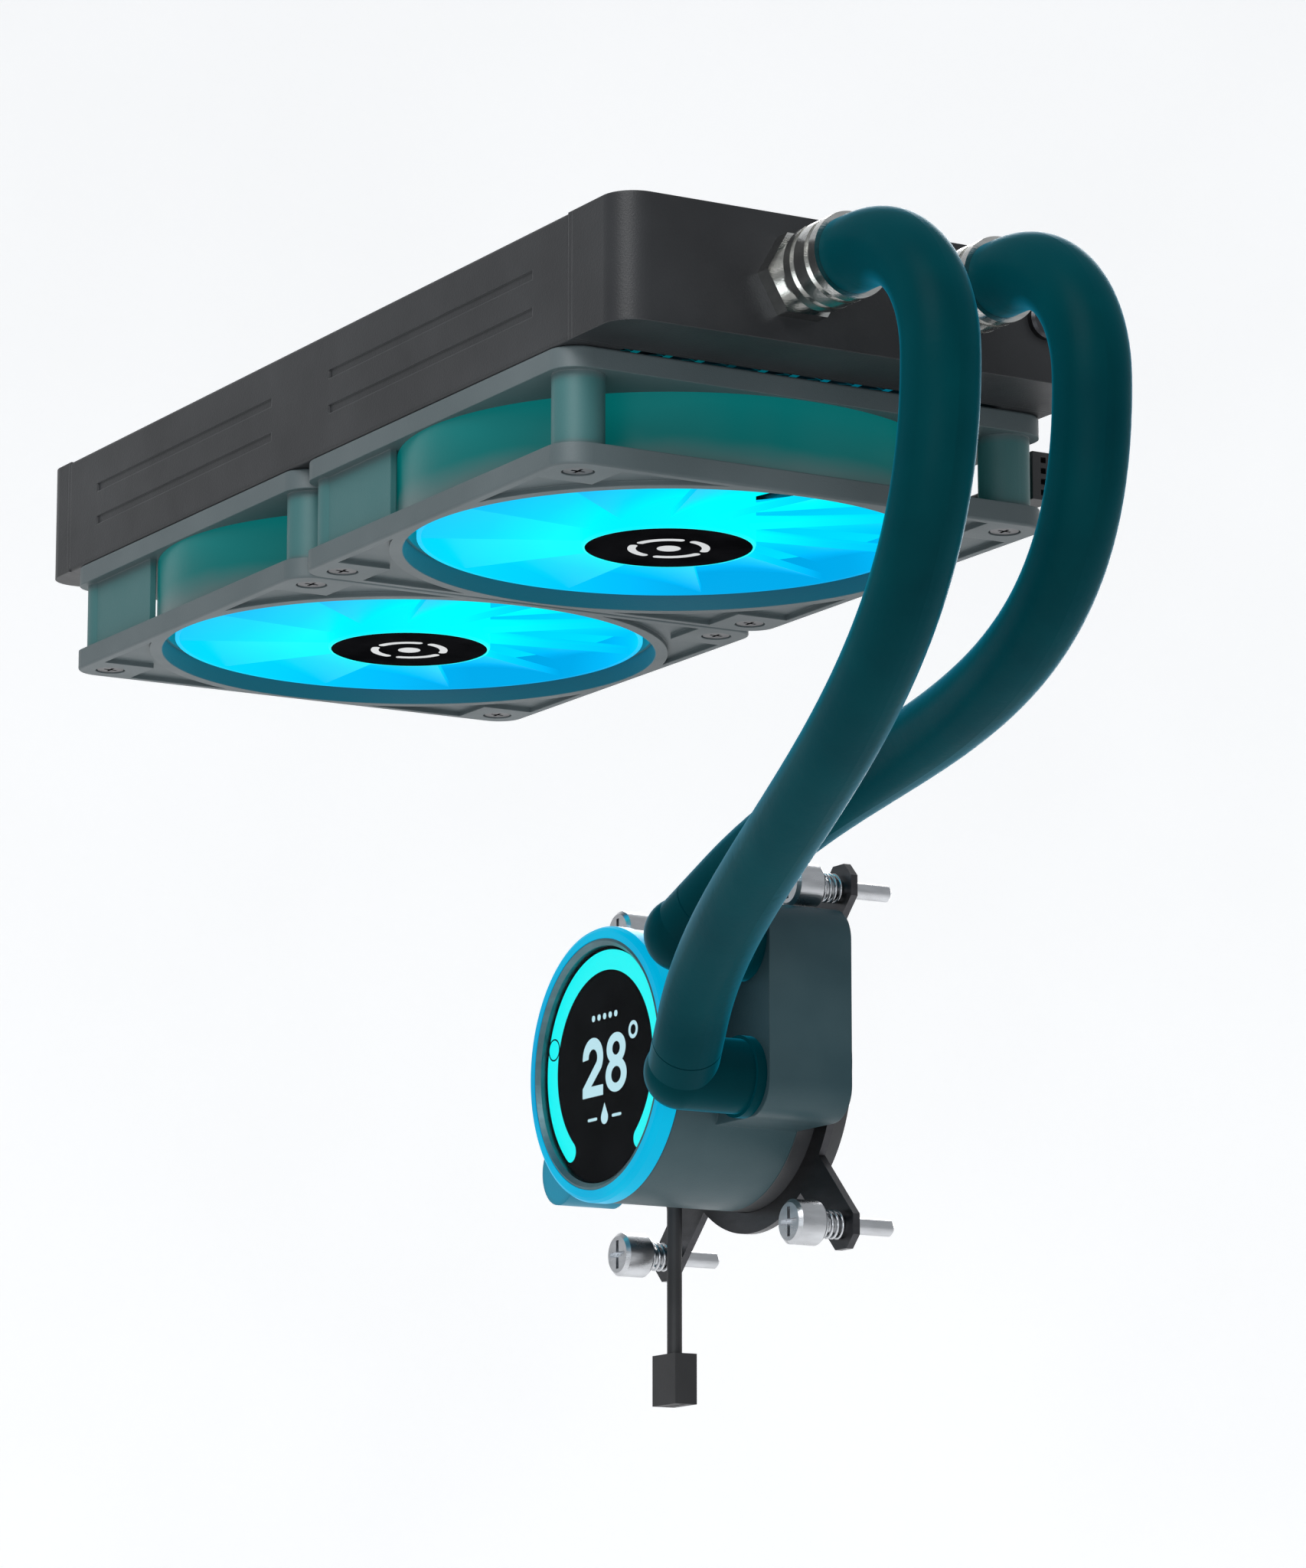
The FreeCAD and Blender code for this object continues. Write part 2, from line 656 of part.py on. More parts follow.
def motor_base(body):
    """The disc that carries the motor, its four leaning struts and the bearing tube."""
    base = sketch_on(body, "XY_Plane", BASE_LOW)
    circle(base, D.base_r)
    strut = sketch_on(body, "XY_Plane", BASE_LOW)
    root_x = D.base_r - 6.5
    tip_x = D.open_r + 1.2
    tip_half = 2.4
    outline(strut, [(root_x, -9.5), (tip_x, -tip_half), (tip_x, tip_half), (root_x, -4.0)])
    round_pattern(body, [pad(body, strut, D.base_t)], 4)
    pad(body, base, D.base_t)
    for radius, low in ((D.boss_r, D.boss_low), (D.shoulder_r, D.shoulder_low)):
        tube = sketch_on(body, "XY_Plane", low)
        circle(tube, radius)
        pad(body, tube, BASE_LOW - low)
    bore = sketch_on(body, "XY_Plane", D.boss_low)
    circle(bore, D.bearing_r + D.snug / 2)
    pocket(body, bore, D.bearing_top - D.boss_low + 0.8, flip=True)


def corner_details(body, half, hole):
    """Screw holes with a seat for the head, and shallow triangles beside them on the intake face."""
    holes = sketch_on(body, "XY_Plane")
    circle(holes, D.screw_hole_r, hole, hole)
    through = pocket(body, holes, D.fan_depth, flip=True)
    seats = sketch_on(body, "XY_Plane")
    circle(seats, D.seat_r, hole, hole)
    seat = pocket(body, seats, D.seat_t, flip=True)
    triangles = sketch_on(body, "XY_Plane")
    edge = half - 2.2
    pad_side = hole - 7.7
    lip = D.open_r + 2.9
    low_corner = (edge, leg(lip, edge))
    high_corner = (leg(lip, pad_side), pad_side)
    outer_corner = (edge, pad_side)
    outline(triangles, [low_corner, high_corner, outer_corner], arcs=(0,))
    outline(triangles, [high_corner[::-1], low_corner[::-1], outer_corner[::-1]], arcs=(0,))
    web = pocket(body, triangles, D.web_t, flip=True)
    round_pattern(body, [through, seat, web], 4)


def light_ring(label, y):
    """The clear duct between the flanges, which spreads the light of the board round the fan."""
    body = new_body(label, 0, y, FAN_LOW)
    inner = D.open_r - D.ring_wall / 2
    outer = D.open_r + D.ring_wall
    revolve(body, [(inner, D.flange_t), (outer, D.flange_t), (outer, UPPER_FLANGE), (inner, UPPER_FLANGE)])


def arc_through(sketch, start, end, radius, bend):
    """An arc between two fixed points. bend is +1 or -1: the side of the chord on which the arc bulges."""
    x0, y0 = (as_size(c).value for c in start)
    x1, y1 = (as_size(c).value for c in end)
    half = math.hypot(x1 - x0, y1 - y0) / 2
    drop = math.sqrt(radius * radius - half * half)
    normal = V(-(y1 - y0), x1 - x0, 0).normalize() * bend
    middle = V((x0 + x1) / 2, (y0 + y1) / 2, 0)
    crown = middle + normal * (radius - drop)
    return sketch.addGeometry(Part.Arc(V(x0, y0, 0), crown, V(x1, y1, 0)))


def blade_section(sketch, lead, trail, thickness, radius):
    """A cambered strip of even thickness from the leading edge to the trailing edge."""
    raised_lead = (lead[0], lead[1] + thickness)
    raised_trail = (trail[0], trail[1] + thickness)
    under = arc_through(sketch, lead, trail, radius, 1)
    over = arc_through(sketch, raised_lead, raised_trail, radius, 1)
    ends = []
    for low, high in ((lead, raised_lead), (trail, raised_trail)):
        spots = [V(as_size(x).value, as_size(y).value, 0) for x, y in (low, high)]
        ends.append(sketch.addGeometry(Part.LineSegment(*spots)))
    for line, (low, high) in zip(ends, ((lead, raised_lead), (trail, raised_trail))):
        fix_point(sketch, line, 1, *low)
        fix_point(sketch, line, 2, *high)
    for arc in (under, over):
        height = 1 if arc == under else 2
        spots = (sketch.getPoint(arc, 1), sketch.getPoint(arc, 2))
        for end_number, spot in enumerate(spots, start=1):
            line = min(ends, key=lambda item: (sketch.getPoint(item, height) - spot).Length)
            sketch.addConstraint(Sketcher.Constraint("Coincident", arc, end_number, line, height))
        fix(sketch, "Radius", arc, radius)


def rotor(label, y):
    """The hub cup, its blades and the hoop that joins their tips, one moulding."""
    body = new_body(label, 0, y, FAN_LOW)
    low = D.blade_low
    root = sketch_on(body, "YZ_Plane", 9.0)
    blade_section(root, (-5.2, low), (5.2, low + D.root_rise), D.blade_t, 22.0)
    tip = sketch_on(body, "YZ_Plane", D.blade_r + 4.0)
    blade_section(tip, (-14.0, low), (23.0, low + D.tip_rise), D.blade_t, 90.0)
    blade = body.newObject("PartDesign::AdditiveLoft", label + "_blade")
    blade.Profile = root
    blade.Sections = [tip]
    blade.Ruled = True
    round_pattern(body, [blade], D.blade_count)
    trim = sketch_on(body, "XY_Plane")
    circle(trim, D.blade_r + 24.0)
    circle(trim, D.blade_r)
    pocket(body, trim, D.fan_depth, flip=True)
    core = sketch_on(body, "XY_Plane")
    circle(core, D.hub_r - D.hub_wall / 2)
    pocket(body, core, D.fan_depth, flip=True)
    hoop_low = low - 0.3
    hoop_top = low + D.tip_rise + D.blade_t + 0.3
    hoop_in = D.blade_r - D.hoop_t
    revolve(body, [(hoop_in, hoop_low), (D.blade_r, hoop_low), (D.blade_r, hoop_top), (hoop_in, hoop_top)])
    inner = D.hub_r - D.hub_wall
    face = D.hub_low
    floor = face + 2.2
    cover_in = D.cap_r + D.snug
    cover_top = face + D.cap_t + D.snug
    press_r = D.shaft_r + 0.01
    press_low = face + 1.2
    collar_r = 3.4
    collar_top = face + 3.6
    revolve(
        body,
        [
            (0, cover_top), (cover_in, cover_top), (cover_in, face), (D.hub_r - 0.3, face),
            (D.hub_r, face + 0.6), (D.hub_r, D.hub_top), (inner, D.hub_top), (inner, floor),
            (collar_r, floor), (collar_r, collar_top), (press_r, collar_top),
            (press_r, press_low), (0, press_low),
        ],
    )


def tube_part(label, y, inner, outer, low, high):
    """A plain ring on a fan's axis."""
    body = new_body(label, 0, y, FAN_LOW)
    revolve(body, [(inner, low), (outer, low), (outer, high), (inner, high)])
    return body


def turning_parts(tag, y):
    """What turns with the blades: cover disc, steel yoke, ring magnet and shaft."""
    face = D.hub_low
    cap = new_body(tag + "_hub_cover", 0, y, FAN_LOW)
    cap_low = face - 0.1
    cap_top = face + D.cap_t
    bevel_r = D.cap_r - 0.5
    revolve(cap, [(0, cap_low), (bevel_r, cap_low), (D.cap_r, face + 0.1), (D.cap_r, cap_top), (0, cap_top)])
    floor = face + 2.2
    yoke_out = D.hub_r - D.hub_wall - D.snug
    yoke_in = yoke_out - D.yoke_t + D.snug
    tube_part(tag + "_rotor_yoke", y, yoke_in, yoke_out, floor + 0.1, 16.2)
    magnet_out = yoke_in - D.snug
    tube_part(tag + "_rotor_magnet", y, magnet_out - D.magnet_t, magnet_out, floor + 0.6, 15.8)
    shaft = new_body(tag + "_shaft", 0, y, FAN_LOW)
    shaft_low = face + 1.3
    shaft_top = 20.2
    bevel = 0.4
    revolve(
        shaft,
        [
            (0, shaft_low), (D.shaft_r, shaft_low), (D.shaft_r, shaft_top - bevel),
            (D.shaft_r - bevel, shaft_top), (0, shaft_top),
        ],
    )


def still_parts(tag, y):
    """What stands inside the hub: bearing, stator core, coils and the board with its lamps."""
    run_gap = 0.03
    tube_part(tag + "_bearing", y, D.shaft_r + run_gap, D.bearing_r, D.bearing_low, D.bearing_top)
    stator = new_body(tag + "_stator_core", 0, y, FAN_LOW)
    ring = sketch_on(stator, "XY_Plane", D.stator_low)
    circle(ring, D.shoulder_r)
    circle(ring, D.boss_r + run_gap)
    pad(stator, ring, D.stator_t)
    pole = sketch_on(stator, "XY_Plane", D.stator_low)
    neck = 1.5
    tip_half = 7.0
    outline(
        pole,
        [
            (5.8, -neck), (12.0, -neck), (11.6, -tip_half), (12.5, -tip_half), (14.2, -2.6),
            (14.2, 2.6), (12.5, tip_half), (11.6, tip_half), (12.0, neck), (5.8, neck),
        ],
    )
    round_pattern(stator, [pad(stator, pole, D.stator_t)], 4)
    coils = new_body(tag + "_coils", 0, y, FAN_LOW)
    coil = sketch_on(coils, "YZ_Plane", 7.0)
    wound = 2.0
    inside = neck + 0.05
    coil_low = D.stator_low - 0.05
    coil_top = D.stator_low + D.stator_t + 0.05
    outside = inside + wound + 0.25
    box_outline(coil, -outside, coil_low - wound + 0.05, outside, coil_top + wound - 0.05)
    box_outline(coil, -inside, coil_low, inside, coil_top)
    round_pattern(coils, [pad(coils, coil, 4.3)], 4)
    board = new_body(tag + "_motor_board", 0, y, FAN_LOW)
    board_low = 17.0
    disc = sketch_on(board, "XY_Plane", board_low)
    circle(disc, 16.4)
    circle(disc, D.boss_r + 0.05)
    pad(board, disc, 1.0)
    lamp = sketch_on(board, "XY_Plane", board_low - 0.8)
    box_outline(lamp, 10.5, 9.1, 13.0, 11.6)
    round_pattern(board, [pad(board, lamp, 0.8)], 4)


def cross(sketch, x, y, arm, half_slot):
    """The outline of a cross recess."""
    quarter = [(arm, -half_slot), (arm, half_slot), (half_slot, half_slot)]
    points = []
    for _ in range(4):
        points += quarter
        quarter = [(-v, u) for u, v in quarter]
    outline(sketch, [(x + u, y + v) for u, v in points])


def fan_screws(label, y):
    """Four long screws that hold a fan to the radiator."""
    body = new_body(label, 0, y, FAN_LOW)
    hole = D.hole_pitch / 2
    head_low = D.seat_t - D.screw_head_t
    head = sketch_on(body, "XY_Plane", head_low)
    circle(head, D.screw_head_r, hole, hole)
    head_pad = pad(body, head, D.screw_head_t)
    shank = sketch_on(body, "XY_Plane", D.seat_t)
    circle(shank, D.tap_r - 2 * D.snug, hole, hole)
    shank_pad = pad(body, shank, D.fan_depth + D.rail_flange_t + 1.0 - D.seat_t)
    slots = sketch_on(body, "XY_Plane", head_low)
    cross(slots, hole, hole, 1.6, 0.35)
    recess = pocket(body, slots, 1.1, flip=True)
    round_pattern(body, [head_pad, shank_pad, recess], 4)


def plug_shell(size, corner, mouth):
    """A connector housing: a box with a latch rib and four contact openings in its mouth face.
    mouth is the row direction of that face, size and corner are the box's sides and lowest corner."""
    centre = corner + size / 2
    box = Part.makeBox(size.x, size.y, size.z, corner)
    across = V(0, 0, 1) if abs(mouth.z) < 0.5 else V(0, 1, 0)
    thin = mouth.cross(across)
    depth = abs(size.dot(mouth))
    pitch = 2.4
    opening = 1.3
    face = centre + mouth * (depth / 2)
    solid = box
    for number in range(4):
        spot = face + across * (pitch * (number - 1.5))
        reach = V(*(abs(c) for c in (mouth * 8.0 + across * opening + thin * opening)))
        cutter = Part.makeBox(reach.x, reach.y, reach.z, spot - reach / 2)
        solid = solid.cut(cutter)
    rib = V(*(abs(c) for c in (mouth * (depth * 0.6) + across * 3.2 + thin * 1.0)))
    rib_spot = centre + thin * (abs(size.dot(thin)) / 2)
    return solid.fuse(Part.makeBox(rib.x, rib.y, rib.z, rib_spot - rib / 2))


def fan_cable(label, y, run):
    """A cable along the right side of the radiator, with its connector at the end."""
    wire_r = 1.5
    inset = 2.8
    bend = 4.0
    side = D.fan_size.value / 2 + 6.0
    sign = 1 if run > 0 else -1
    start = V(D.open_r.value + D.ring_wall.value + 0.05, 0, 0)
    turn_start = V(side - bend, 0, 0)
    diagonal = bend * math.sin(math.radians(45))
    halfway = turn_start + V(diagonal, sign * (bend - diagonal), 0)
    turn_end = V(side, sign * bend, 0)
    spine = Part.Wire(
        [
            Part.LineSegment(start, turn_start).toShape(),
            Part.Arc(turn_start, halfway, turn_end).toShape(),
            Part.LineSegment(turn_end, V(side, run, 0)).toShape(),
        ]
    )
    ring = Part.Wire([Part.Circle(start, V(1, 0, 0), wire_r).toShape()])
    cord = spine.makePipeShell([ring], True, False)
    size = V(5.6, 14.0, 10.6)
    low_y = run if sign > 0 else run - size.y
    shell = plug_shell(size, V(side - inset, low_y, -size.z / 2), V(0, sign, 0))
    plain_part(label, cord.fuse(shell).removeSplitter(), 0, y, FAN_LOW + 15.0)


def fan(tag, y, cable_run):
    fan_frame(tag + "_frame", y)
    light_ring(tag + "_light_ring", y)
    rotor(tag + "_rotor", y)
    turning_parts(tag, y)
    still_parts(tag, y)
    fan_screws(tag + "_screws", y)
    fan_cable(tag + "_cable", y, cable_run)


# ---------------------------------------------------------------- pump head

PUMP_Z = -D.pump_drop
PUMP_TURN = FreeCAD.Rotation(V(0, -1, 0), V(0, 0, 1), V(-1, 0, 0))  # local X, Y and Z as row directions
UPPER_Y = D.elbow_mid + D.elbow_half
LOWER_Y = D.elbow_mid - D.elbow_half
INLET_X = 8.0
OUTLET_X = 22.0
BEZEL_LOW = D.pump_h - D.bezel_t


def pump_body(label):
    """A body in the pump head's own frame: Z from the cold plate's face to the display, X to the hoses."""
    return new_body(label, D.pump_x, D.pump_y, PUMP_Z, PUMP_TURN)


def cold_plate():
    """A round copper plate with fine fins inside and eight countersunk screw holes."""
    body = pump_body("cold_plate")
    bevel = 0.6
    rim = [(D.plate_r - bevel, 0), (D.plate_r, bevel), (D.plate_r, D.plate_t)]
    revolve(body, [(0, 0), *rim, (0, D.plate_t)])
    fin = sketch_on(body, "XY_Plane", D.plate_t)
    fins_half = 12.0
    box_outline(fin, -fins_half, -fins_half, 0.5 - fins_half, fins_half)
    row_pattern(body, [pad(body, fin, 2.6)], "X_Axis", 2 * fins_half - 0.5, 24)
    holes = sketch_on(body, "XY_Plane")
    circle(holes, 1.3, D.plate_screw_ring)
    through = pocket(body, holes, D.plate_t, flip=True)
    sinks = sketch_on(body, "XY_Plane")
    circle(sinks, 2.4, D.plate_screw_ring)
    sink = pocket(body, sinks, 1.2, flip=True)
    round_pattern(body, [through, sink], 8)


def plate_screws():
    """Eight screws, from the cold plate's face into the pump base."""
    body = pump_body("cold_plate_screws")
    steps = []
    for low, radius, length in ((0.1, 2.2, 1.1), (1.2, 1.2, 4.8)):
        step = sketch_on(body, "XY_Plane", low)
        circle(step, radius, D.plate_screw_ring)
        steps.append(pad(body, step, length))
    round_pattern(body, steps, 8)


def plate_seal():
    body = pump_body("cold_plate_seal")
    top = D.plate_t + 1.0
    revolve(body, [(D.seal_in, D.plate_t), (D.seal_out, D.plate_t), (D.seal_out, top), (D.seal_in, top)])


def pump_base():
    """The wet half: a groove for the seal, a space over the fins, an inlet and the impeller chamber."""
    body = pump_body("pump_base")
    low = D.plate_t
    rim = D.pump_r + 2.0
    groove_top = low + 1.05
    groove_in = D.seal_in - 0.1
    groove_out = D.seal_out + 0.1
    fin_room_r = 19.4
    fin_room_top = low + 4.4
    chamber_low = fin_room_top + 1.0
    intake_r = 5.0
    revolve(
        body,
        [
            (intake_r, fin_room_top), (fin_room_r, fin_room_top), (fin_room_r, low), (groove_in, low),
            (groove_in, groove_top), (groove_out, groove_top), (groove_out, low), (rim, low),
            (rim, D.bracket_low), (D.pump_r, D.bracket_low), (D.pump_r, D.base_top),
            (D.chamber_r, D.base_top), (D.chamber_r, chamber_low), (intake_r, chamber_low),
        ],
    )
    holes = sketch_on(body, "XY_Plane", low)
    circle(holes, 1.22, D.plate_screw_ring)
    round_pattern(body, [pocket(body, holes, 3.2, flip=True)], 8)
    half = D.passage_r
    outlet = sketch_on(body, "XY_Plane", D.base_top)
    box_outline(outlet, 10.0, LOWER_Y - half, OUTLET_X + half, LOWER_Y + half)
    pocket(body, outlet, 4.0)
    inlet = sketch_on(body, "XY_Plane", D.base_top)
    box_outline(inlet, INLET_X - half, UPPER_Y - 3.2, INLET_X + half, UPPER_Y + half)
    pocket(body, inlet, 8.6)
    channel = sketch_on(body, "XY_Plane", D.base_top - 6.4)
    box_outline(channel, INLET_X - half, 16.0, INLET_X + half, UPPER_Y)
    pocket(body, channel, 2.2)


def impeller():
    """A disc with six vanes and the magnet drum that carries it round the pin."""
    body = pump_body("impeller")
    bore = D.pin_r + 0.04
    disc_low = 10.6
    disc_top = 11.6
    drum_top = 25.4
    revolve(
        body,
        [
            (bore, disc_low), (D.impeller_r, disc_low), (D.impeller_r, disc_top), (D.drive_r, disc_top + 1.0),
            (D.drive_r, drum_top), (bore, drum_top),
        ],
    )
    vane = sketch_on(body, "XY_Plane", disc_low - 1.6)
    outline(vane, [(3.2, -0.5), (11.2, 1.6), (11.0, 2.8), (3.2, 0.6)])
    round_pattern(body, [pad(body, vane, 1.7)], 6)


def impeller_pin():
    body = pump_body("impeller_pin")
    revolve(body, [(0, 8.6), (D.pin_r, 8.6), (D.pin_r, 27.2), (0, 27.2)])


def rotor_can():
    """The cup that keeps the coolant and the impeller's magnet apart from the dry coils."""
    body = pump_body("rotor_can")
    low = D.base_top
    rim_top = low + 1.0
    ceiling = 26.2
    pin_top = 27.25
    pin_hole = D.pin_r + D.snug
    revolve(
        body,
        [
            (D.can_in, low), (D.can_rim_r, low), (D.can_rim_r, rim_top), (D.can_out, rim_top),
            (D.can_out, D.can_top), (0, D.can_top), (0, pin_top), (pin_hole, pin_top),
            (pin_hole, ceiling), (D.can_in, ceiling),
        ],
    )


def pump_stator():
    """A ring with six poles round the rotor can."""
    body = pump_body("pump_stator")
    low = 16.4
    high = 26.4
    inner = 12.6
    outer = D.drum_bore - 0.4
    revolve(body, [(inner, low), (outer, low), (outer, high), (inner, high)])
    pole = sketch_on(body, "XY_Plane", low + 2.0)
    face = D.can_out + 0.3
    outline(pole, [(face, -2.4), (inner + 0.8, -1.2), (inner + 0.8, 1.2), (face, 2.4)])
    round_pattern(body, [pad(body, pole, 6.0)], 6)


def pump_housing():
    """The drum: bore for the coils, an ear that carries the elbows, and a tray for the board."""
    body = pump_body("pump_housing")
    low = D.base_top
    top = BEZEL_LOW
    edge = 0.5
    step_z = D.panel_low - 0.1
    revolve(
        body,
        [
            (D.drum_bore, low), (D.pump_r, low), (D.pump_r, top - edge), (D.pump_r - edge, top),
            (D.bezel_in, top), (D.bezel_in, step_z), (D.tray_r, step_z), (D.tray_r, D.tray_low),
            (D.drum_bore, D.tray_low),
        ],
    )
    ear = sketch_on(body, "XY_Plane", low)
    out = D.elbow_x + D.ear_margin
    high_y = UPPER_Y + 8.6
    low_y = LOWER_Y - 9.4
    outline(ear, [(16.0, UPPER_Y - 3.0), (22.0, high_y), (out, high_y), (out, low_y), (26.0, low_y)])
    pad(body, ear, D.ear_top - low)
    ear_side = out.value
    round_edges(body, D.ear_round, lambda edge: upright(edge) and abs(edge.Vertexes[0].X - ear_side) < 1e-3)
    # Round lobe behind the bezel, where the cable leaves the drum.
    lobe = sketch_on(body, "XY_Plane", D.lobe_low)
    circle(lobe, D.lobe_r, -D.lobe_x, -D.lobe_y)
    pad(body, lobe, top - 1.4 - D.lobe_low)
    for radius, floor, depth in ((D.tray_r, D.tray_low, 6.5), (D.bezel_in, step_z, D.bezel_t)):
        clear = sketch_on(body, "XY_Plane", floor)
        circle(clear, radius)
        pocket(body, clear, depth, flip=True)
    coolant_passages(body)
    bore = sketch_on(body, "XY_Plane", D.lobe_low)
    circle(bore, D.cable_r + D.snug, -D.lobe_x, -D.lobe_y)
    pocket(body, bore, 7.0, flip=True)


def coolant_passages(body):
    """Sockets for the elbows, cross drillings and drops into the pump base."""
    for radius, top, depth in ((D.socket_r + D.snug, D.ear_top, D.socket_depth),
                               (D.passage_r, D.ear_top - D.socket_depth, 7.0)):
        hole = sketch_on(body, "XY_Plane", top)
        for y in (UPPER_Y, LOWER_Y):
            circle(hole, radius, D.elbow_x, y)
        pocket(body, hole, depth)
    for y, x in ((UPPER_Y, INLET_X), (LOWER_Y, OUTLET_X)):
        run = sketch_on(body, "YZ_Plane", D.elbow_x)
        circle(run, D.passage_r, y, 20.0)
        pocket(body, run, D.elbow_x - x)
        drop = sketch_on(body, "XY_Plane", D.base_top)
        circle(drop, D.passage_r, x, y)
        pocket(body, drop, 6.0, flip=True)


def pump_board():
    """The round board in the tray, with three of its larger chips."""
    body = pump_body("pump_board")
    low = D.tray_low + 1.1
    board_t = 1.4
    disc = sketch_on(body, "XY_Plane", low)
    circle(disc, D.tray_r - 0.6)
    pad(body, disc, board_t)
    chips = sketch_on(body, "XY_Plane", low + board_t)
    box_outline(chips, -5, -5, 5, 5)
    box_outline(chips, 9, -14, 15, -8)
    box_outline(chips, -18, 4, -12, 14)
    pad(body, chips, 1.2)


def light_bezel():
    """The clear outer ring round the display, lit from the board."""
    body = pump_body("light_bezel")
    top = D.pump_h
    low = BEZEL_LOW + 0.05
    revolve(
        body,
        [
            (D.bezel_in, low), (D.bezel_r, low), (D.bezel_r, top - 1.4), (D.bezel_r - 0.5, top - 0.4),
            (D.bezel_r - 1.2, top), (D.bezel_in, top),
        ],
    )


def display_parts():
    """The display module with its ribbon socket, the bevelled ring round it and its cover glass."""
    top = D.pump_h
    panel = pump_body("display_panel")
    disc = sketch_on(panel, "XY_Plane", D.panel_low)
    circle(disc, D.tray_r)
    pad(panel, disc, top - 2.4 - D.panel_low)
    ribbon_socket = sketch_on(panel, "XY_Plane", D.panel_low - 2.5)
    box_outline(ribbon_socket, -7, -20, 7, -15)
    pad(panel, ribbon_socket, 2.5)
    trim = pump_body("display_trim")
    inner = D.tray_r + 0.1
    outer = D.bezel_in - 0.1
    revolve(
        trim,
        [
            (inner, D.panel_low), (outer, D.panel_low), (outer, top - 0.2),
            (outer - 0.6, top), (inner, top - 0.9),
        ],
    )
    glass = pump_body("display_glass")
    low = top - 2.3
    high = top - 0.8
    bevel = 0.3
    revolve(
        glass,
        [(0, low), (D.tray_r, low), (D.tray_r, high - bevel), (D.tray_r - bevel, high), (0, high)],
    )


def retention_bracket():
    """A steel ring with four arms over the pump's rim."""
    body = pump_body("retention_bracket")
    ring = sketch_on(body, "XY_Plane", D.bracket_low)
    circle(ring, D.bracket_ring_r)
    circle(ring, D.pump_r + 0.15)
    pad(body, ring, D.bracket_t)
    lug = D.lug_half
    arm = sketch_on(body, "XY_Plane", D.bracket_low)
    near = lug - 5.2
    waist = lug - 2.2
    flat = lug + 2.6
    far = lug + 5.6
    outline(
        arm,
        [
            (20.0, 28.0), (28.0, 20.0), (flat, near), (far, waist),
            (far, flat), (flat, far), (waist, far), (near, flat),
        ],
    )
    first = pad(body, arm, D.bracket_t)
    round_pattern(body, [first], 4)
    hole = sketch_on(body, "XY_Plane", D.bracket_low)
    circle(hole, D.screw_r + 0.35, lug, lug)
    through = pocket(body, hole, D.bracket_t, flip=True)
    round_pattern(body, [through], 4)


BRACKET_TOP = D.bracket_low + D.bracket_t
HEAD_LOW = BRACKET_TOP + D.spring_len
LUGS = [("upper_front", 1, 1), ("lower_front", 1, -1), ("upper_rear", -1, 1), ("lower_rear", -1, -1)]


def lug_place(x_side, y_side):
    """Row position of a mounting screw's axis, at the height of the cold plate's face."""
    return D.pump_x, D.pump_y - x_side * D.lug_half, PUMP_Z + y_side * D.lug_half


def mounting_screw(label, x_side, y_side):
    """A captive screw: threaded tip, shank, retaining collar under the bracket and a thumb head."""
    body = new_body(label, *lug_place(x_side, y_side), PUMP_TURN)
    tip = -4.0
    bevel = 0.6
    collar_top = D.bracket_low - 0.1
    collar_low = collar_top - 0.7
    head = HEAD_LOW + 0.05
    top = head + D.thumb_h
    neck_r = D.thumb_r - 0.3
    revolve(
        body,
        [
            (0, tip), (D.screw_r - bevel, tip), (D.screw_r, tip + bevel), (D.screw_r, collar_low),
            (D.collar_r, collar_low), (D.collar_r, collar_top), (D.screw_r, collar_top), (D.screw_r, head),
            (neck_r, head), (D.thumb_r, head + 0.4), (D.thumb_r, top - 0.8), (D.thumb_r - 0.8, top), (0, top),
        ],
    )
    slots = sketch_on(body, "XY_Plane", top)
    cross(slots, 0, 0, 3.4, 0.6)
    pocket(body, slots, 1.6)


def bracket_springs():
    """Four coil springs, one between the bracket and each screw's head."""
    wire_r = D.spring_wire_r.value
    coil_r = D.spring_r.value
    turns = 4
    rise = D.spring_len.value - 2 * wire_r - 0.1
    low = BRACKET_TOP.value + wire_r + 0.05
    steps = 24 * turns
    points = []
    for step in range(steps + 1):
        angle = 2 * math.pi * turns * step / steps
        points.append(V(coil_r * math.cos(angle), coil_r * math.sin(angle), rise * step / steps))
    coil = Part.BSplineCurve()
    coil.interpolate(points)
    ring = Part.Wire([Part.Circle(points[0], V(0, coil_r, rise / (2 * math.pi * turns)), wire_r).toShape()])
    spring = Part.Wire([coil.toShape()]).makePipeShell([ring], True, False)
    springs = []
    for _, x_side, y_side in LUGS:
        copy = spring.copy()
        copy.translate(V(x_side * D.lug_half.value, y_side * D.lug_half.value, low))
        springs.append(copy)
    plain_part("bracket_springs", Part.makeCompound(springs), D.pump_x, D.pump_y, PUMP_Z, PUMP_TURN)


# ---------------------------------------------------------------- hoses

UPPER_OUT = V(0.15, -0.85, 0.50).normalize()
LOWER_OUT = V(-0.31, -0.79, 0.52).normalize()


def elbow_turn(y):
    """Row position of an elbow's round turn, at height y above the pump axis."""
    return V(D.pump_x.value - D.elbow_z.value, D.pump_y.value - D.elbow_x.value, PUMP_Z.value + y.value)


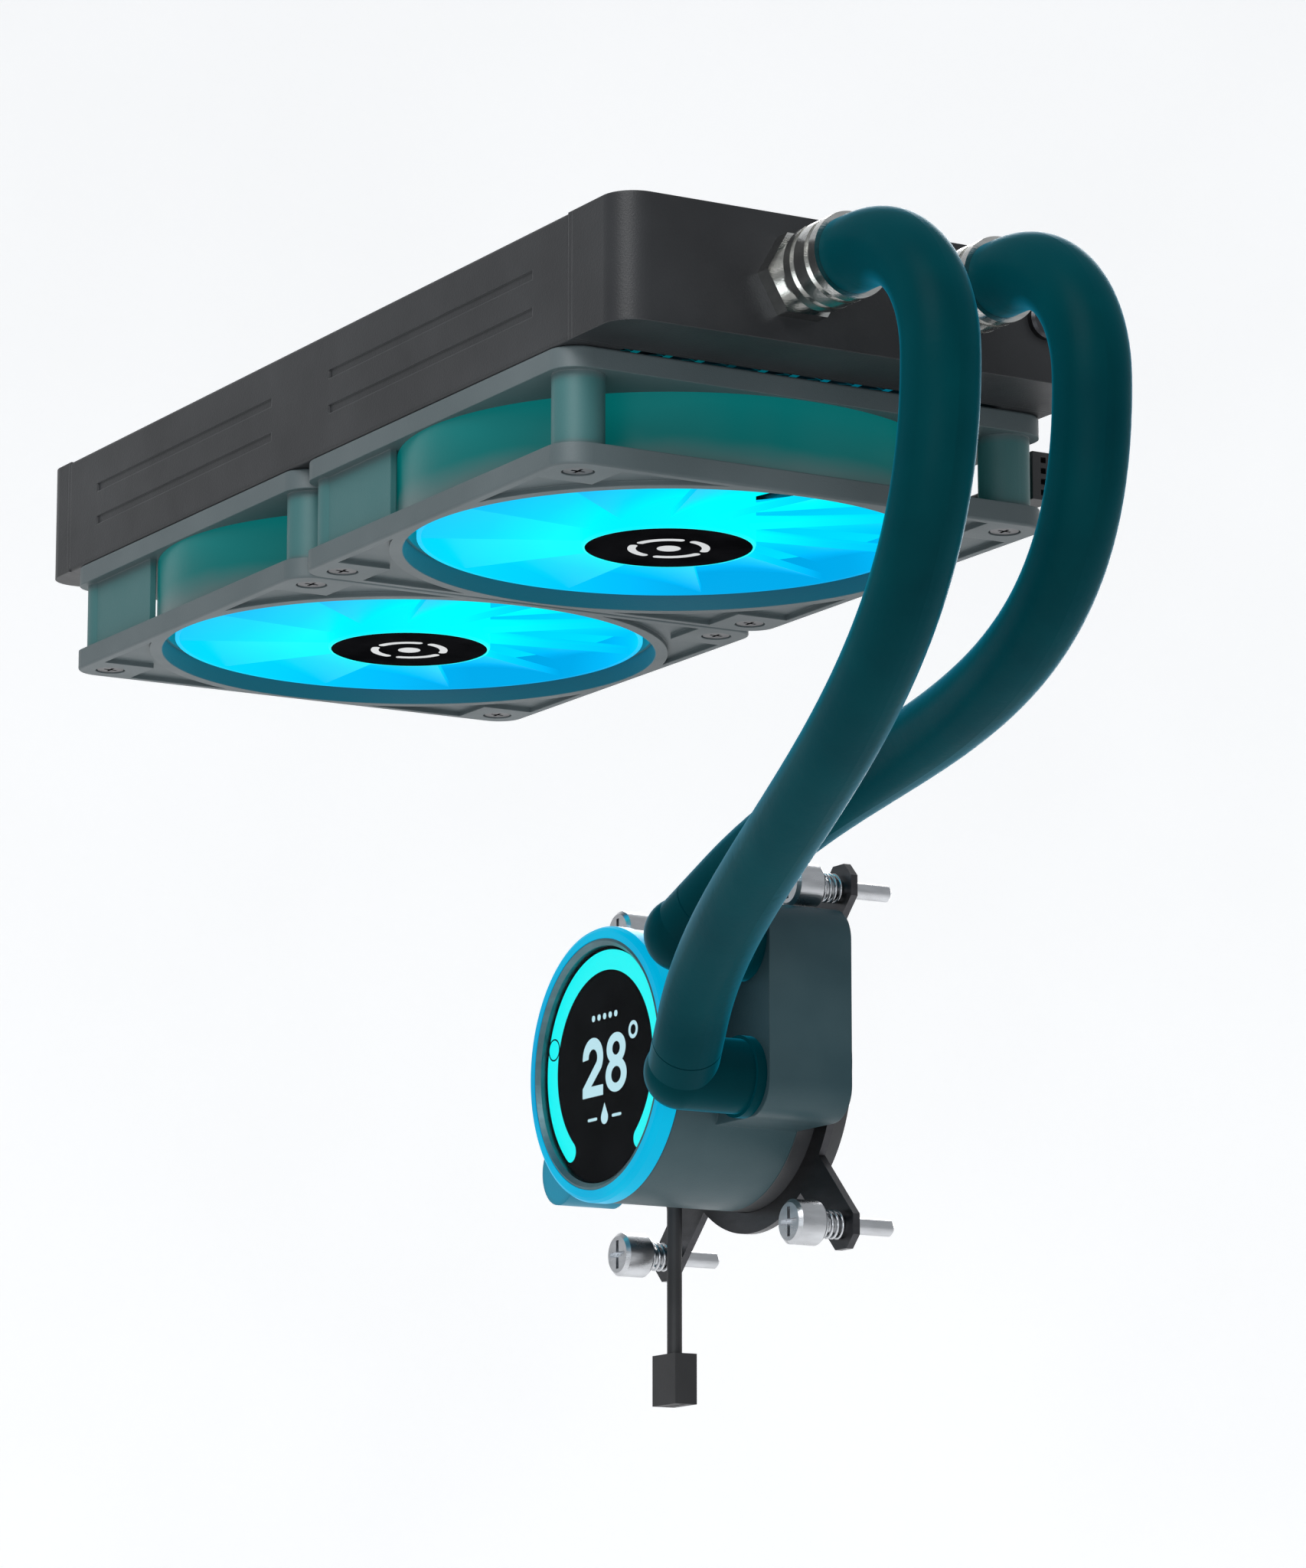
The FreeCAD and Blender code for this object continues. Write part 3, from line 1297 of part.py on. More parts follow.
def elbow(label, y, out):
    """A swivel elbow: a stem in its socket, a round turn and a hose barb."""
    turn = elbow_turn(y)
    back = V(1, 0, 0)
    seat = D.elbow_z.value - D.ear_top.value - 0.05
    ring_at = seat - D.seat_ring_t.value
    barb_end = D.spigot_len.value + D.hose_end.value
    solid = Part.makeSphere(D.elbow_r.value, turn).fuse(
        [
            Part.makeCylinder(D.elbow_r.value, seat, turn, back),
            Part.makeCylinder(D.seat_ring_r.value, D.seat_ring_t.value, turn + back * ring_at, back),
            Part.makeCylinder(D.socket_r.value, seat + D.socket_depth.value - 0.2, turn, back),
            Part.makeCylinder(D.hose_r.value, D.spigot_len.value, turn, out),
            Part.makeCylinder(D.barb_r.value, barb_end, turn, out),
        ]
    )
    bore = Part.makeSphere(D.barb_bore.value, turn).fuse(
        [
            Part.makeCylinder(D.barb_bore.value, seat + D.socket_depth.value, turn, back),
            Part.makeCylinder(D.barb_bore.value, barb_end + 1, turn, out),
        ]
    )
    plain_part(label, solid.cut(bore))


def hose(label, y, out, port_side):
    """A sleeved hose: straight at the elbow, one long sweep, a quarter turn and straight at the port."""
    start = elbow_turn(y) + out * (D.spigot_len.value + 0.3)
    leave = start + out * D.hose_end.value
    end_y = -(PORT_FACE.value + D.port_len.value + 0.3)
    end = V(port_side * D.port_x.value, end_y, -D.rad_depth.value / 2)
    arrive = end + V(0, -(D.barb_len.value + 2.0), 0)
    turn_r = D.hose_turn.value
    crest = arrive + V(0, -turn_r, -turn_r)
    diagonal = turn_r * math.sin(math.radians(45))
    halfway = arrive + V(0, -diagonal, diagonal - turn_r)
    sweep = Part.BezierCurve()
    elbow_pull = 60.0
    crest_pull = 75.0
    sweep.setPoles([leave, leave + out * elbow_pull, crest - V(0, 0, crest_pull), crest])
    spine = Part.Wire(
        [
            Part.LineSegment(start, leave).toShape(), sweep.toShape(),
            Part.Arc(crest, halfway, arrive).toShape(), Part.LineSegment(arrive, end).toShape(),
        ]
    )
    solids = []
    for radius in (D.hose_r.value, D.hose_bore.value):
        ring = Part.Wire([Part.Circle(start, out, radius).toShape()])
        solids.append(spine.makePipeShell([ring], True, False))
    plain_part(label, solids[0].cut(solids[1]))


def ferrules():
    """Two crimped metal sleeves round the hoses at the radiator's ports."""
    body = new_body("hose_ferrules", 0, -(PORT_FACE + D.port_len + 0.3), -D.rad_depth / 2, FACING_PORT)
    rings = sketch_on(body, "XY_Plane")
    for side in (-1, 1):
        circle(rings, D.ferrule_r, side * D.port_x)
        circle(rings, D.hose_r + D.snug, side * D.port_x)
    pad(body, rings, D.ferrule_len)
    for low in (0.2, 0.66):
        crimp = sketch_on(body, "XY_Plane", D.ferrule_len * low)
        for side in (-1, 1):
            circle(crimp, D.ferrule_r + 1.0, side * D.port_x)
            circle(crimp, D.ferrule_r - D.crimp_depth, side * D.port_x)
        pocket(body, crimp, D.crimp_len, flip=True)


def pump_cable():
    """The pump's cable: out of the lobe's back, one bend and straight down to its plug."""
    bend = 8.0
    inside = 6.5
    start_x = D.pump_x.value - D.lobe_low.value - inside
    start = V(start_x, D.pump_y.value + D.lobe_x.value, PUMP_Z.value - D.lobe_y.value)
    turn_start = start + V(15.0, 0, 0)
    diagonal = bend * math.sin(math.radians(45))
    middle = turn_start + V(diagonal, 0, diagonal - bend)
    turn_end = turn_start + V(bend, 0, -bend)
    tip = turn_end + V(0, 0, -34.0)
    ring = Part.Wire([Part.Circle(start, V(1, 0, 0), D.cable_r.value).toShape()])
    spine = Part.Wire(
        [
            Part.LineSegment(start, turn_start).toShape(),
            Part.Arc(turn_start, middle, turn_end).toShape(),
            Part.LineSegment(turn_end, tip).toShape(),
        ]
    )
    cord = spine.makePipeShell([ring], True, False)
    size = V(6.0, 10.6, 12.0)
    shell = plug_shell(size, tip - V(size.x / 2, size.y / 2, size.z), V(0, 0, -1))
    plain_part("pump_cable", cord.fuse(shell).removeSplitter())


def pump_head():
    cold_plate()
    plate_screws()
    plate_seal()
    pump_base()
    impeller()
    impeller_pin()
    rotor_can()
    pump_stator()
    pump_housing()
    pump_board()
    light_bezel()
    display_parts()
    retention_bracket()
    for name, x_side, y_side in LUGS:
        mounting_screw(name + "_mounting_screw", x_side, y_side)
    bracket_springs()
    elbow("upper_elbow", UPPER_Y, UPPER_OUT)
    elbow("lower_elbow", LOWER_Y, LOWER_OUT)
    hose("upper_hose", UPPER_Y, UPPER_OUT, 1)
    hose("lower_hose", LOWER_Y, LOWER_OUT, -1)
    ferrules()
    pump_cable()


# ---------------------------------------------------------------- build, check and write

radiator()
fan("rear_fan", D.fan_pitch / 2, 34)
fan("front_fan", -D.fan_pitch / 2, -34)
pump_head()
doc.recompute()

for item in doc.Objects:
    if "Invalid" in item.State or "Error" in item.State:
        raise RuntimeError(f"{item.Label} failed: {item.State}")
for label, item in nodes.items():
    if item.Shape.isNull() or not item.Shape.isValid() or not item.Shape.Solids:
        raise RuntimeError(f"{label} has no valid shape")

os.makedirs("parts", exist_ok=True)
for label, item in nodes.items():
    item.Shape.exportStep(f"parts/{label}.step")
print(len(nodes), "nodes written")
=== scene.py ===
import math

import bmesh
import bpy
from mathutils import Matrix, Vector


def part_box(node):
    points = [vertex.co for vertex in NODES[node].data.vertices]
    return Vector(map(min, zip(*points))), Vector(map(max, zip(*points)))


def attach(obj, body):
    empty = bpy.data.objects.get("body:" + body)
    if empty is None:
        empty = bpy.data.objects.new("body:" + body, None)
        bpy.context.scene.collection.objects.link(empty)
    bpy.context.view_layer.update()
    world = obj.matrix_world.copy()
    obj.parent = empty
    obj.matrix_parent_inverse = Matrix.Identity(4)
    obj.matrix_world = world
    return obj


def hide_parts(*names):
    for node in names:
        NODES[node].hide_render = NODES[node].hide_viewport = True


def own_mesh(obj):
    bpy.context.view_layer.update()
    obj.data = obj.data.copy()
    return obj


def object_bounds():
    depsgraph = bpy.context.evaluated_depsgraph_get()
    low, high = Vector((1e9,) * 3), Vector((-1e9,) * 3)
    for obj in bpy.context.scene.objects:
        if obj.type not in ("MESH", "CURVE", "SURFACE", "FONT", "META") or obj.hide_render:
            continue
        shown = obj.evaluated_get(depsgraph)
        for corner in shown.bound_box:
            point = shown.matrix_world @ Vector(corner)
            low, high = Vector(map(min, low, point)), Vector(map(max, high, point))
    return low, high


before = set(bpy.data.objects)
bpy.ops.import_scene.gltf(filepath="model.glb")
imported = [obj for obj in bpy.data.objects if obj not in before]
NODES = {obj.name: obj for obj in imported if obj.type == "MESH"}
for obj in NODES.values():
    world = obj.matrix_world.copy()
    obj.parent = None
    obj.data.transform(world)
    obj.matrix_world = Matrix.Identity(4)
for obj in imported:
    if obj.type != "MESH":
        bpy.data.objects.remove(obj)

# A closed-loop liquid cooler, in metres, seen from below its front left corner as it hangs in a case.

MM = 0.001
CAD_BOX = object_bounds()
SCENE = bpy.context.scene
BAND_ANGLE = math.radians(-32)
EYE = (-0.6279, -1.1258, -0.3435)
PICTURE_SHAPE = 2048 / 1706
FILLED_SHARE = 0.93
FLOOR_DROP = 1.0
FANS = {"rear_fan": "rear_fan_rotor_group", "front_fan": "front_fan_rotor_group"}

OFF = (0, 0, 0, 1)
ON = (1, 1, 1, 1)


# ---------------------------------------------------------------- materials


class Look:
    """A material built from nodes round one Principled shader."""

    def __init__(self, name, colour, rough, metal=0.0, **inputs):
        self.material = bpy.data.materials.new(name)
        self.material.use_nodes = True
        self.tree = self.material.node_tree
        self.shader = self.tree.nodes["Principled BSDF"]
        self.place = self.node("ShaderNodeTexCoord").outputs["Object"]
        self.shader.inputs["Base Color"].default_value = (*colour[:3], 1.0)
        self.shader.inputs["Roughness"].default_value = rough
        self.shader.inputs["Metallic"].default_value = metal
        self.last_normal = None
        for key, value in inputs.items():
            self.shader.inputs[key.replace("_", " ")].default_value = value

    def node(self, kind, **settings):
        made = self.tree.nodes.new(kind)
        for key, value in settings.items():
            if key in made.inputs:
                made.inputs[key].default_value = value
            else:
                setattr(made, key, value)
        return made

    def link(self, source, target):
        self.tree.links.new(source, target)

    def scaled_place(self, stretch):
        mapping = self.node("ShaderNodeMapping")
        mapping.inputs["Scale"].default_value = stretch
        self.link(self.place, mapping.inputs["Vector"])
        return mapping.outputs["Vector"]

    def noise(self, scale, detail=3.0, stretch=(1, 1, 1)):
        made = self.node("ShaderNodeTexNoise", Scale=scale, Detail=detail)
        self.link(self.scaled_place(stretch), made.inputs["Vector"])
        return made.outputs["Fac"]

    def ramp(self, value, stops):
        made = self.node("ShaderNodeValToRGB")
        points = made.color_ramp.elements
        while len(points) < len(stops):
            points.new(0.5)
        for point, (position, colour) in zip(points, stops):
            point.position = position
            point.color = colour
        self.link(value, made.inputs["Fac"])
        return made.outputs["Color"]

    def tint(self, dark, light, scale, detail=3.0, stretch=(1, 1, 1)):
        """Colour that drifts between two tones."""
        colour = self.ramp(self.noise(scale, detail, stretch), [(0.35, (*dark, 1)), (0.65, (*light, 1))])
        self.link(colour, self.shader.inputs["Base Color"])
        return self

    def blend(self, share, *colours):
        """Two colours mixed by a share. Each is a colour output or a plain colour."""
        mixed = self.node("ShaderNodeMix", data_type="RGBA")
        self.link(share, mixed.inputs["Factor"])
        for target, colour in zip((mixed.inputs[6], mixed.inputs[7]), colours):
            if isinstance(colour, tuple):
                target.default_value = (*colour[:3], 1)
            else:
                self.link(colour, target)
        return mixed.outputs[2]

    def base(self, colour):
        self.link(colour, self.shader.inputs["Base Color"])
        return self

    def height(self, low, high):
        """Height above one level as a share of the way to another."""
        parts = self.node("ShaderNodeSeparateXYZ")
        self.link(self.place, parts.inputs["Vector"])
        return self.between(parts.outputs["Z"], low, high)

    def roughness(self, low, high, scale, stretch=(1, 1, 1)):
        spread = self.node("ShaderNodeMapRange")
        spread.inputs["To Min"].default_value = low
        spread.inputs["To Max"].default_value = high
        self.link(self.noise(scale, 4.0, stretch), spread.inputs["Value"])
        self.link(spread.outputs["Result"], self.shader.inputs["Roughness"])
        return self

    def bump(self, height, depth, strength=1.0):
        made = self.node("ShaderNodeBump", Strength=strength, Distance=depth)
        self.link(height, made.inputs["Height"])
        if self.last_normal is not None:
            self.link(self.last_normal, made.inputs["Normal"])
        self.last_normal = made.outputs["Normal"]
        self.link(self.last_normal, self.shader.inputs["Normal"])
        return self

    def grain(self, scale, depth, stretch=(1, 1, 1), strength=1.0):
        return self.bump(self.noise(scale, 2.0, stretch), depth, strength)

    def soften(self, radius):
        """Shades sharp edges as if they were rounded."""
        made = self.node("ShaderNodeBevel", samples=6, Radius=radius)
        self.last_normal = made.outputs["Normal"]
        return self

    def wear(self, polished, radius):
        """Lightens the base colour along sharp edges, where handling has rubbed it."""
        rounded = self.node("ShaderNodeBevel", samples=4, Radius=radius)
        flat = self.node("ShaderNodeNewGeometry")
        match = self.node("ShaderNodeVectorMath", operation="DOT_PRODUCT")
        self.link(rounded.outputs["Normal"], match.inputs[0])
        self.link(flat.outputs["Normal"], match.inputs[1])
        patchy = self.node("ShaderNodeMath", operation="MULTIPLY_ADD")
        patchy.inputs[1].default_value = 0.08
        self.link(self.noise(160), patchy.inputs[0])
        self.link(match.outputs["Value"], patchy.inputs[2])
        share = self.ramp(patchy.outputs[0], [(0.86, (0.7, 0.7, 0.7, 1)), (0.99, (0, 0, 0, 1))])
        plain = self.shader.inputs["Base Color"].links[0].from_socket
        return self.base(self.blend(share, plain, polished))

    def glow(self, colour_output, strength):
        self.link(colour_output, self.shader.inputs["Emission Color"])
        self.shader.inputs["Emission Strength"].default_value = strength
        return self

    def distance(self, centre, squash=(1, 1, 1)):
        """Distance from a point, in metres."""
        offset = self.node("ShaderNodeVectorMath", operation="SUBTRACT")
        offset.inputs[1].default_value = centre
        self.link(self.place, offset.inputs[0])
        scaled = self.node("ShaderNodeVectorMath", operation="MULTIPLY")
        scaled.inputs[1].default_value = squash
        self.link(offset.outputs[0], scaled.inputs[0])
        length = self.node("ShaderNodeVectorMath", operation="LENGTH")
        self.link(scaled.outputs[0], length.inputs[0])
        return length.outputs["Value"]

    def between(self, value, low, high):
        """The value mapped to 0..1 between two limits."""
        spread = self.node("ShaderNodeMapRange")
        spread.inputs["From Min"].default_value = low
        spread.inputs["From Max"].default_value = high
        self.link(value, spread.inputs["Value"])
        return spread.outputs["Result"]


def powder_coat():
    look = Look("powder_coat", (0.018, 0.019, 0.021), 0.44, Specular_IOR_Level=0.32).soften(0.5 * MM)
    look.tint((0.013, 0.0135, 0.015), (0.021, 0.022, 0.024), 30)
    look.wear((0.07, 0.072, 0.076), 0.3 * MM)
    look.roughness(0.36, 0.5, 90)
    return look.grain(2600, 0.00012, strength=0.35).material


def thin_fins():
    look = Look("thin_fins", (0.05, 0.052, 0.055), 0.4, metal=0.75)
    look.tint((0.035, 0.036, 0.04), (0.075, 0.078, 0.082), 260, stretch=(1, 1, 0.2))
    look.roughness(0.3, 0.5, 400)
    return look.grain(1800, 0.0001, stretch=(1, 1, 0.1), strength=0.4).material


def flat_tube():
    look = Look("flat_tube", (0.06, 0.062, 0.066), 0.38, metal=0.8)
    look.tint((0.05, 0.052, 0.056), (0.085, 0.088, 0.092), 60, stretch=(1, 0.15, 1))
    look.roughness(0.3, 0.48, 120, stretch=(1, 0.1, 1))
    return look.grain(900, 0.0001, stretch=(1, 0.05, 1), strength=0.4).material


def fan_plastic(name, low, high):
    """Dark grey moulding, with painted teal light from the duct on its posts and a painted cyan glow from the
    blades on the wall of its air opening.
    """
    look = Look(name, (0.07, 0.09, 0.095), 0.5).soften(0.35 * MM)
    grey = look.ramp(look.noise(24), [(0.35, (0.058, 0.078, 0.083, 1)), (0.65, (0.078, 0.1, 0.106, 1))])
    level = look.height(low.z, high.z)
    # Painted light: teal light from the duct, painted on the posts over a band of heights.
    post = look.ramp(level, [(0.17, OFF), (0.24, ON), (0.74, ON), (0.83, OFF)])
    reach = look.distance((low + high) / 2, (1, 1, 0))
    near_wall = look.between(reach, 57.4 * MM, 58.0 * MM)
    wall = look.ramp(near_wall, [(0.1, OFF), (0.2, ON), (0.85, ON), (0.95, OFF)])
    grey_with_post_glow = look.blend(post, grey, (0.03, 0.11, 0.112))
    look.base(look.blend(wall, grey_with_post_glow, (0.0, 0.04, 0.05)))
    look.roughness(0.42, 0.58, 70)
    # Painted light: the blades' glow painted on the opening wall, dim low down and bright cyan higher up.
    depth = look.ramp(level, [(0.5, (0.004, 0.046, 0.07, 1)), (0.65, (0.0, 0.62, 0.95, 1))])
    look.glow(look.blend(wall, OFF, depth), 1.0)
    return look.grain(3200, 0.00008, strength=0.4).material


def light_guide(name, low, high):
    """Tinted translucent duct: smoky near the intake flange, teal above, bright inside above the blades."""
    look = Look(name, (0.006, 0.06, 0.062), 0.34, Specular_IOR_Level=0.2)
    level = look.height(low.z, high.z)
    mixed = look.node("ShaderNodeMath", operation="MULTIPLY_ADD")
    mixed.inputs[1].default_value = 0.3
    look.link(look.noise(38, 2.0, stretch=(1, 1, 2.2)), mixed.inputs[0])
    look.link(level, mixed.inputs[2])
    share = mixed.outputs[0]
    look.base(look.ramp(share, [(0.15, (0.05, 0.065, 0.066, 1)), (0.55, (0.0, 0.05, 0.05, 1))]))
    smoke, teal, pale_teal = (0.03, 0.05, 0.052, 1), (0.0, 0.07, 0.068, 1), (0.0, 0.1, 0.098, 1)
    outside = look.ramp(share, [(0.1, smoke), (0.5, teal), (1.0, pale_teal)])
    dim, bright, deep = (0.0, 0.07, 0.1, 1), (0.0, 0.74, 1.0, 1), (0.0, 0.64, 0.97, 1)
    inside = look.ramp(level, [(0.2, dim), (0.34, bright), (1.0, deep)])
    reach = look.distance((low + high) / 2, (1, 1, 0))
    inner = look.ramp(look.between(reach, 57.0 * MM, 58.6 * MM), [(0.35, ON), (0.45, OFF)])
    look.glow(look.blend(inner, outside, inside), 1.0)
    return look.grain(500, 0.00004, strength=0.3).material


def lit_blade(name, centre):
    """Milky blade lit from the hub: cyan in a band across the middle, azure towards the sides."""
    look = Look(name, (0.0, 0.03, 0.05), 0.5, Specular_IOR_Level=0.05)
    offset = look.node("ShaderNodeVectorMath", operation="SUBTRACT")
    offset.inputs[1].default_value = centre
    look.link(look.place, offset.inputs[0])
    turned = look.node("ShaderNodeVectorRotate", rotation_type="Z_AXIS", Angle=BAND_ANGLE)
    look.link(offset.outputs[0], turned.inputs["Vector"])
    squashed = look.node("ShaderNodeVectorMath", operation="MULTIPLY")
    squashed.inputs[1].default_value = (1, 0.5, 0)
    look.link(turned.outputs[0], squashed.inputs[0])
    length = look.node("ShaderNodeVectorMath", operation="LENGTH")
    look.link(squashed.outputs[0], length.inputs[0])
    mixed = look.node("ShaderNodeMath", operation="MULTIPLY_ADD")
    mixed.inputs[1].default_value = 0.2
    look.link(look.noise(26, 2.0), mixed.inputs[0])
    look.link(look.between(length.outputs["Value"], 14 * MM, 56 * MM), mixed.inputs[2])
    cyan = (0.0, 1.0, 1.0, 1)
    sky = (0.0, 0.72, 1.0, 1)
    azure = (0.0, 0.52, 1.0, 1)
    rim = (0.0, 0.4, 0.82, 1)
    look.glow(look.ramp(mixed.outputs[0], [(0.12, cyan), (0.42, sky), (0.85, azure), (1.0, rim)]), 0.97)
    return look.grain(1400, 0.00005, strength=0.25).material


def gloss_black():
    look = Look("gloss_black", (0.004, 0.004, 0.005), 0.3, Specular_IOR_Level=0.0)
    look.tint((0.003, 0.003, 0.0035), (0.007, 0.007, 0.008), 80)
    look.roughness(0.26, 0.36, 120)
    return look.grain(700, 0.00002, strength=0.2).material


def turned_metal(name, colour, rough, scale=900):
    dark = tuple(c * 0.82 for c in colour)
    look = Look(name, colour, rough, metal=1.0)
    look.tint(dark, colour, 120, stretch=(1, 1, 4))
    look.roughness(rough * 0.8, rough * 1.25, 260)
    return look.grain(scale, 0.00006, stretch=(1, 1, 5), strength=0.4).material


def moulded(name, dark, light, rough, scale=2400):
    look = Look(name, light, rough).soften(0.3 * MM)
    look.tint(dark, light, 40)
    look.roughness(rough - 0.07, rough + 0.08, 110)
    return look.grain(scale, 0.00008, strength=0.35).material


def circuit_board():
    look = Look("circuit_board", (0.01, 0.07, 0.04), 0.35)
    traces = look.node("ShaderNodeTexBrick", Scale=220.0)
    look.link(look.place, traces.inputs["Vector"])
    traces.inputs["Color1"].default_value = (0.008, 0.06, 0.035, 1)
    traces.inputs["Color2"].default_value = (0.012, 0.075, 0.045, 1)
    traces.inputs["Mortar"].default_value = (0.03, 0.16, 0.09, 1)
    look.link(traces.outputs["Color"], look.shader.inputs["Base Color"])
    return look.bump(traces.outputs["Fac"], 0.00005, 0.4).material


def copper_wire():
    look = Look("copper_wire", (0.6, 0.24, 0.08), 0.28, metal=1.0)
    wave = look.node("ShaderNodeTexWave", Scale=900.0, Distortion=0.4)
    look.link(look.place, wave.inputs["Vector"])
    look.tint((0.42, 0.15, 0.05), (0.66, 0.27, 0.1), 300)
    return look.bump(wave.outputs["Fac"], 0.0002, 0.8).material


def machined_copper():
    """Copper with the rings that a lathe leaves."""
    look = Look("machined_copper", (0.72, 0.33, 0.18), 0.24, metal=1.0)
    lathe = look.node("ShaderNodeTexWave", wave_type="RINGS", rings_direction="X")
    lathe.inputs["Scale"].default_value = 420.0
    lathe.inputs["Distortion"].default_value = 0.15
    moved = look.node("ShaderNodeVectorMath", operation="SUBTRACT")
    moved.inputs[1].default_value = PUMP_CENTRE
    look.link(look.place, moved.inputs[0])
    look.link(moved.outputs[0], lathe.inputs["Vector"])
    look.tint((0.6, 0.25, 0.13), (0.78, 0.38, 0.22), 45)
    return look.bump(lathe.outputs["Fac"], 0.00003, 0.5).material


def rubber_with_painted_cyan_light(name, rough):
    """Rubber whose dark teal is the painted cast of cyan light, with a painted glow from the lit parts along
    its rounded edges.
    """
    # Painted light: the teal in these base colours stands for cyan light cast on the rubber.
    look = Look(name, (0.0, 0.022, 0.028), rough, Specular_IOR_Level=0.02)
    look.tint((0.0, 0.02, 0.025), (0.0, 0.03, 0.035), 26)
    look.roughness(rough - 0.06, rough + 0.08, 60)
    # Painted light: a rim glow, near black where the surface faces the view and blue-cyan at the silhouette.
    facing = look.node("ShaderNodeLayerWeight", Blend=0.42)
    painted_rim_glow = [(0.15, (0.0, 0.004, 0.006, 1)), (0.6, (0.0, 0.03, 0.042, 1)), (0.95, (0.002, 0.15, 0.24, 1))]
    look.glow(look.ramp(facing.outputs["Facing"], painted_rim_glow), 0.75)
    return look.grain(1500, 0.00008, strength=0.3).material


def bezel_glow():
    """Frosted ring, lighter cyan where its light gathers and bluer between."""
    look = Look("bezel_glow", (0.0, 0.08, 0.12), 0.35, Specular_IOR_Level=0.05)
    patches = look.noise(22, 2.0)
    look.base(look.ramp(patches, [(0.3, (0.0, 0.06, 0.1, 1)), (0.7, (0.0, 0.1, 0.13, 1))]))
    look.glow(look.ramp(patches, [(0.3, (0.0, 0.3, 0.58, 1)), (0.7, (0.0, 0.5, 0.76, 1))]), 0.9)
    return look.grain(1500, 0.00004, strength=0.25).material


def glass():
    look = Look("cover_glass", (0.006, 0.008, 0.009), 0.05, Alpha=0.08, Specular_IOR_Level=0.3)
    look.roughness(0.03, 0.08, 60)
    return look.material


def pump_grey():
    """Grey moulding with a painted pool of blue light from the ring above on its lower rear lobe."""
    look = Look("pump_grey", (0.04, 0.07, 0.08), 0.42, Specular_IOR_Level=0.22).soften(0.5 * MM)
    grey = look.ramp(look.noise(34), [(0.35, (0.024, 0.054, 0.064, 1)), (0.65, (0.038, 0.072, 0.082, 1))])
    # Painted light: blue light from the ring painted on the lobe, as base colour and as a glow, fading with
    # distance from the lobe.
    lobe = (0, PUMP_CENTRE.y + LOBE_ASIDE, PUMP_CENTRE.z - LOBE_BELOW)
    near = look.between(look.distance(lobe, (0, 1, 1)), 6 * MM, 15 * MM)
    look.base(look.blend(look.ramp(near, [(0.1, ON), (0.75, OFF)]), grey, (0.0, 0.06, 0.08)))
    look.roughness(0.34, 0.48, 110)
    look.glow(look.ramp(near, [(0.1, (0.0, 0.2, 0.33, 1)), (0.75, OFF)]), 0.8)
    return look.grain(2400, 0.00008, strength=0.3).material


def screen_light(name, colour, strength):
    """Lit pixels of the display, with a faint pixel grid."""
    look = Look(name, tuple(c * 0.05 for c in colour), 0.5)
    grid = look.noise(2600, 1.0)
    dim = tuple(c * 0.93 for c in colour)
    shade = look.ramp(grid, [(0.3, (*dim, 1)), (0.7, (*colour, 1))])
    look.glow(shade, strength)
    return look.material


# ---------------------------------------------------------------- places taken from the frame


def middle(node):
    low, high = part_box(node)
    return (low + high) / 2


PUMP_CENTRE = middle("display_glass")
PANEL_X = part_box("display_panel")[0].x
LOBE_ASIDE = 27.6 * MM
LOBE_BELOW = 21.5 * MM


def dress(node, material):
    slots = NODES[node].data.materials
    slots.clear()
    slots.append(material)


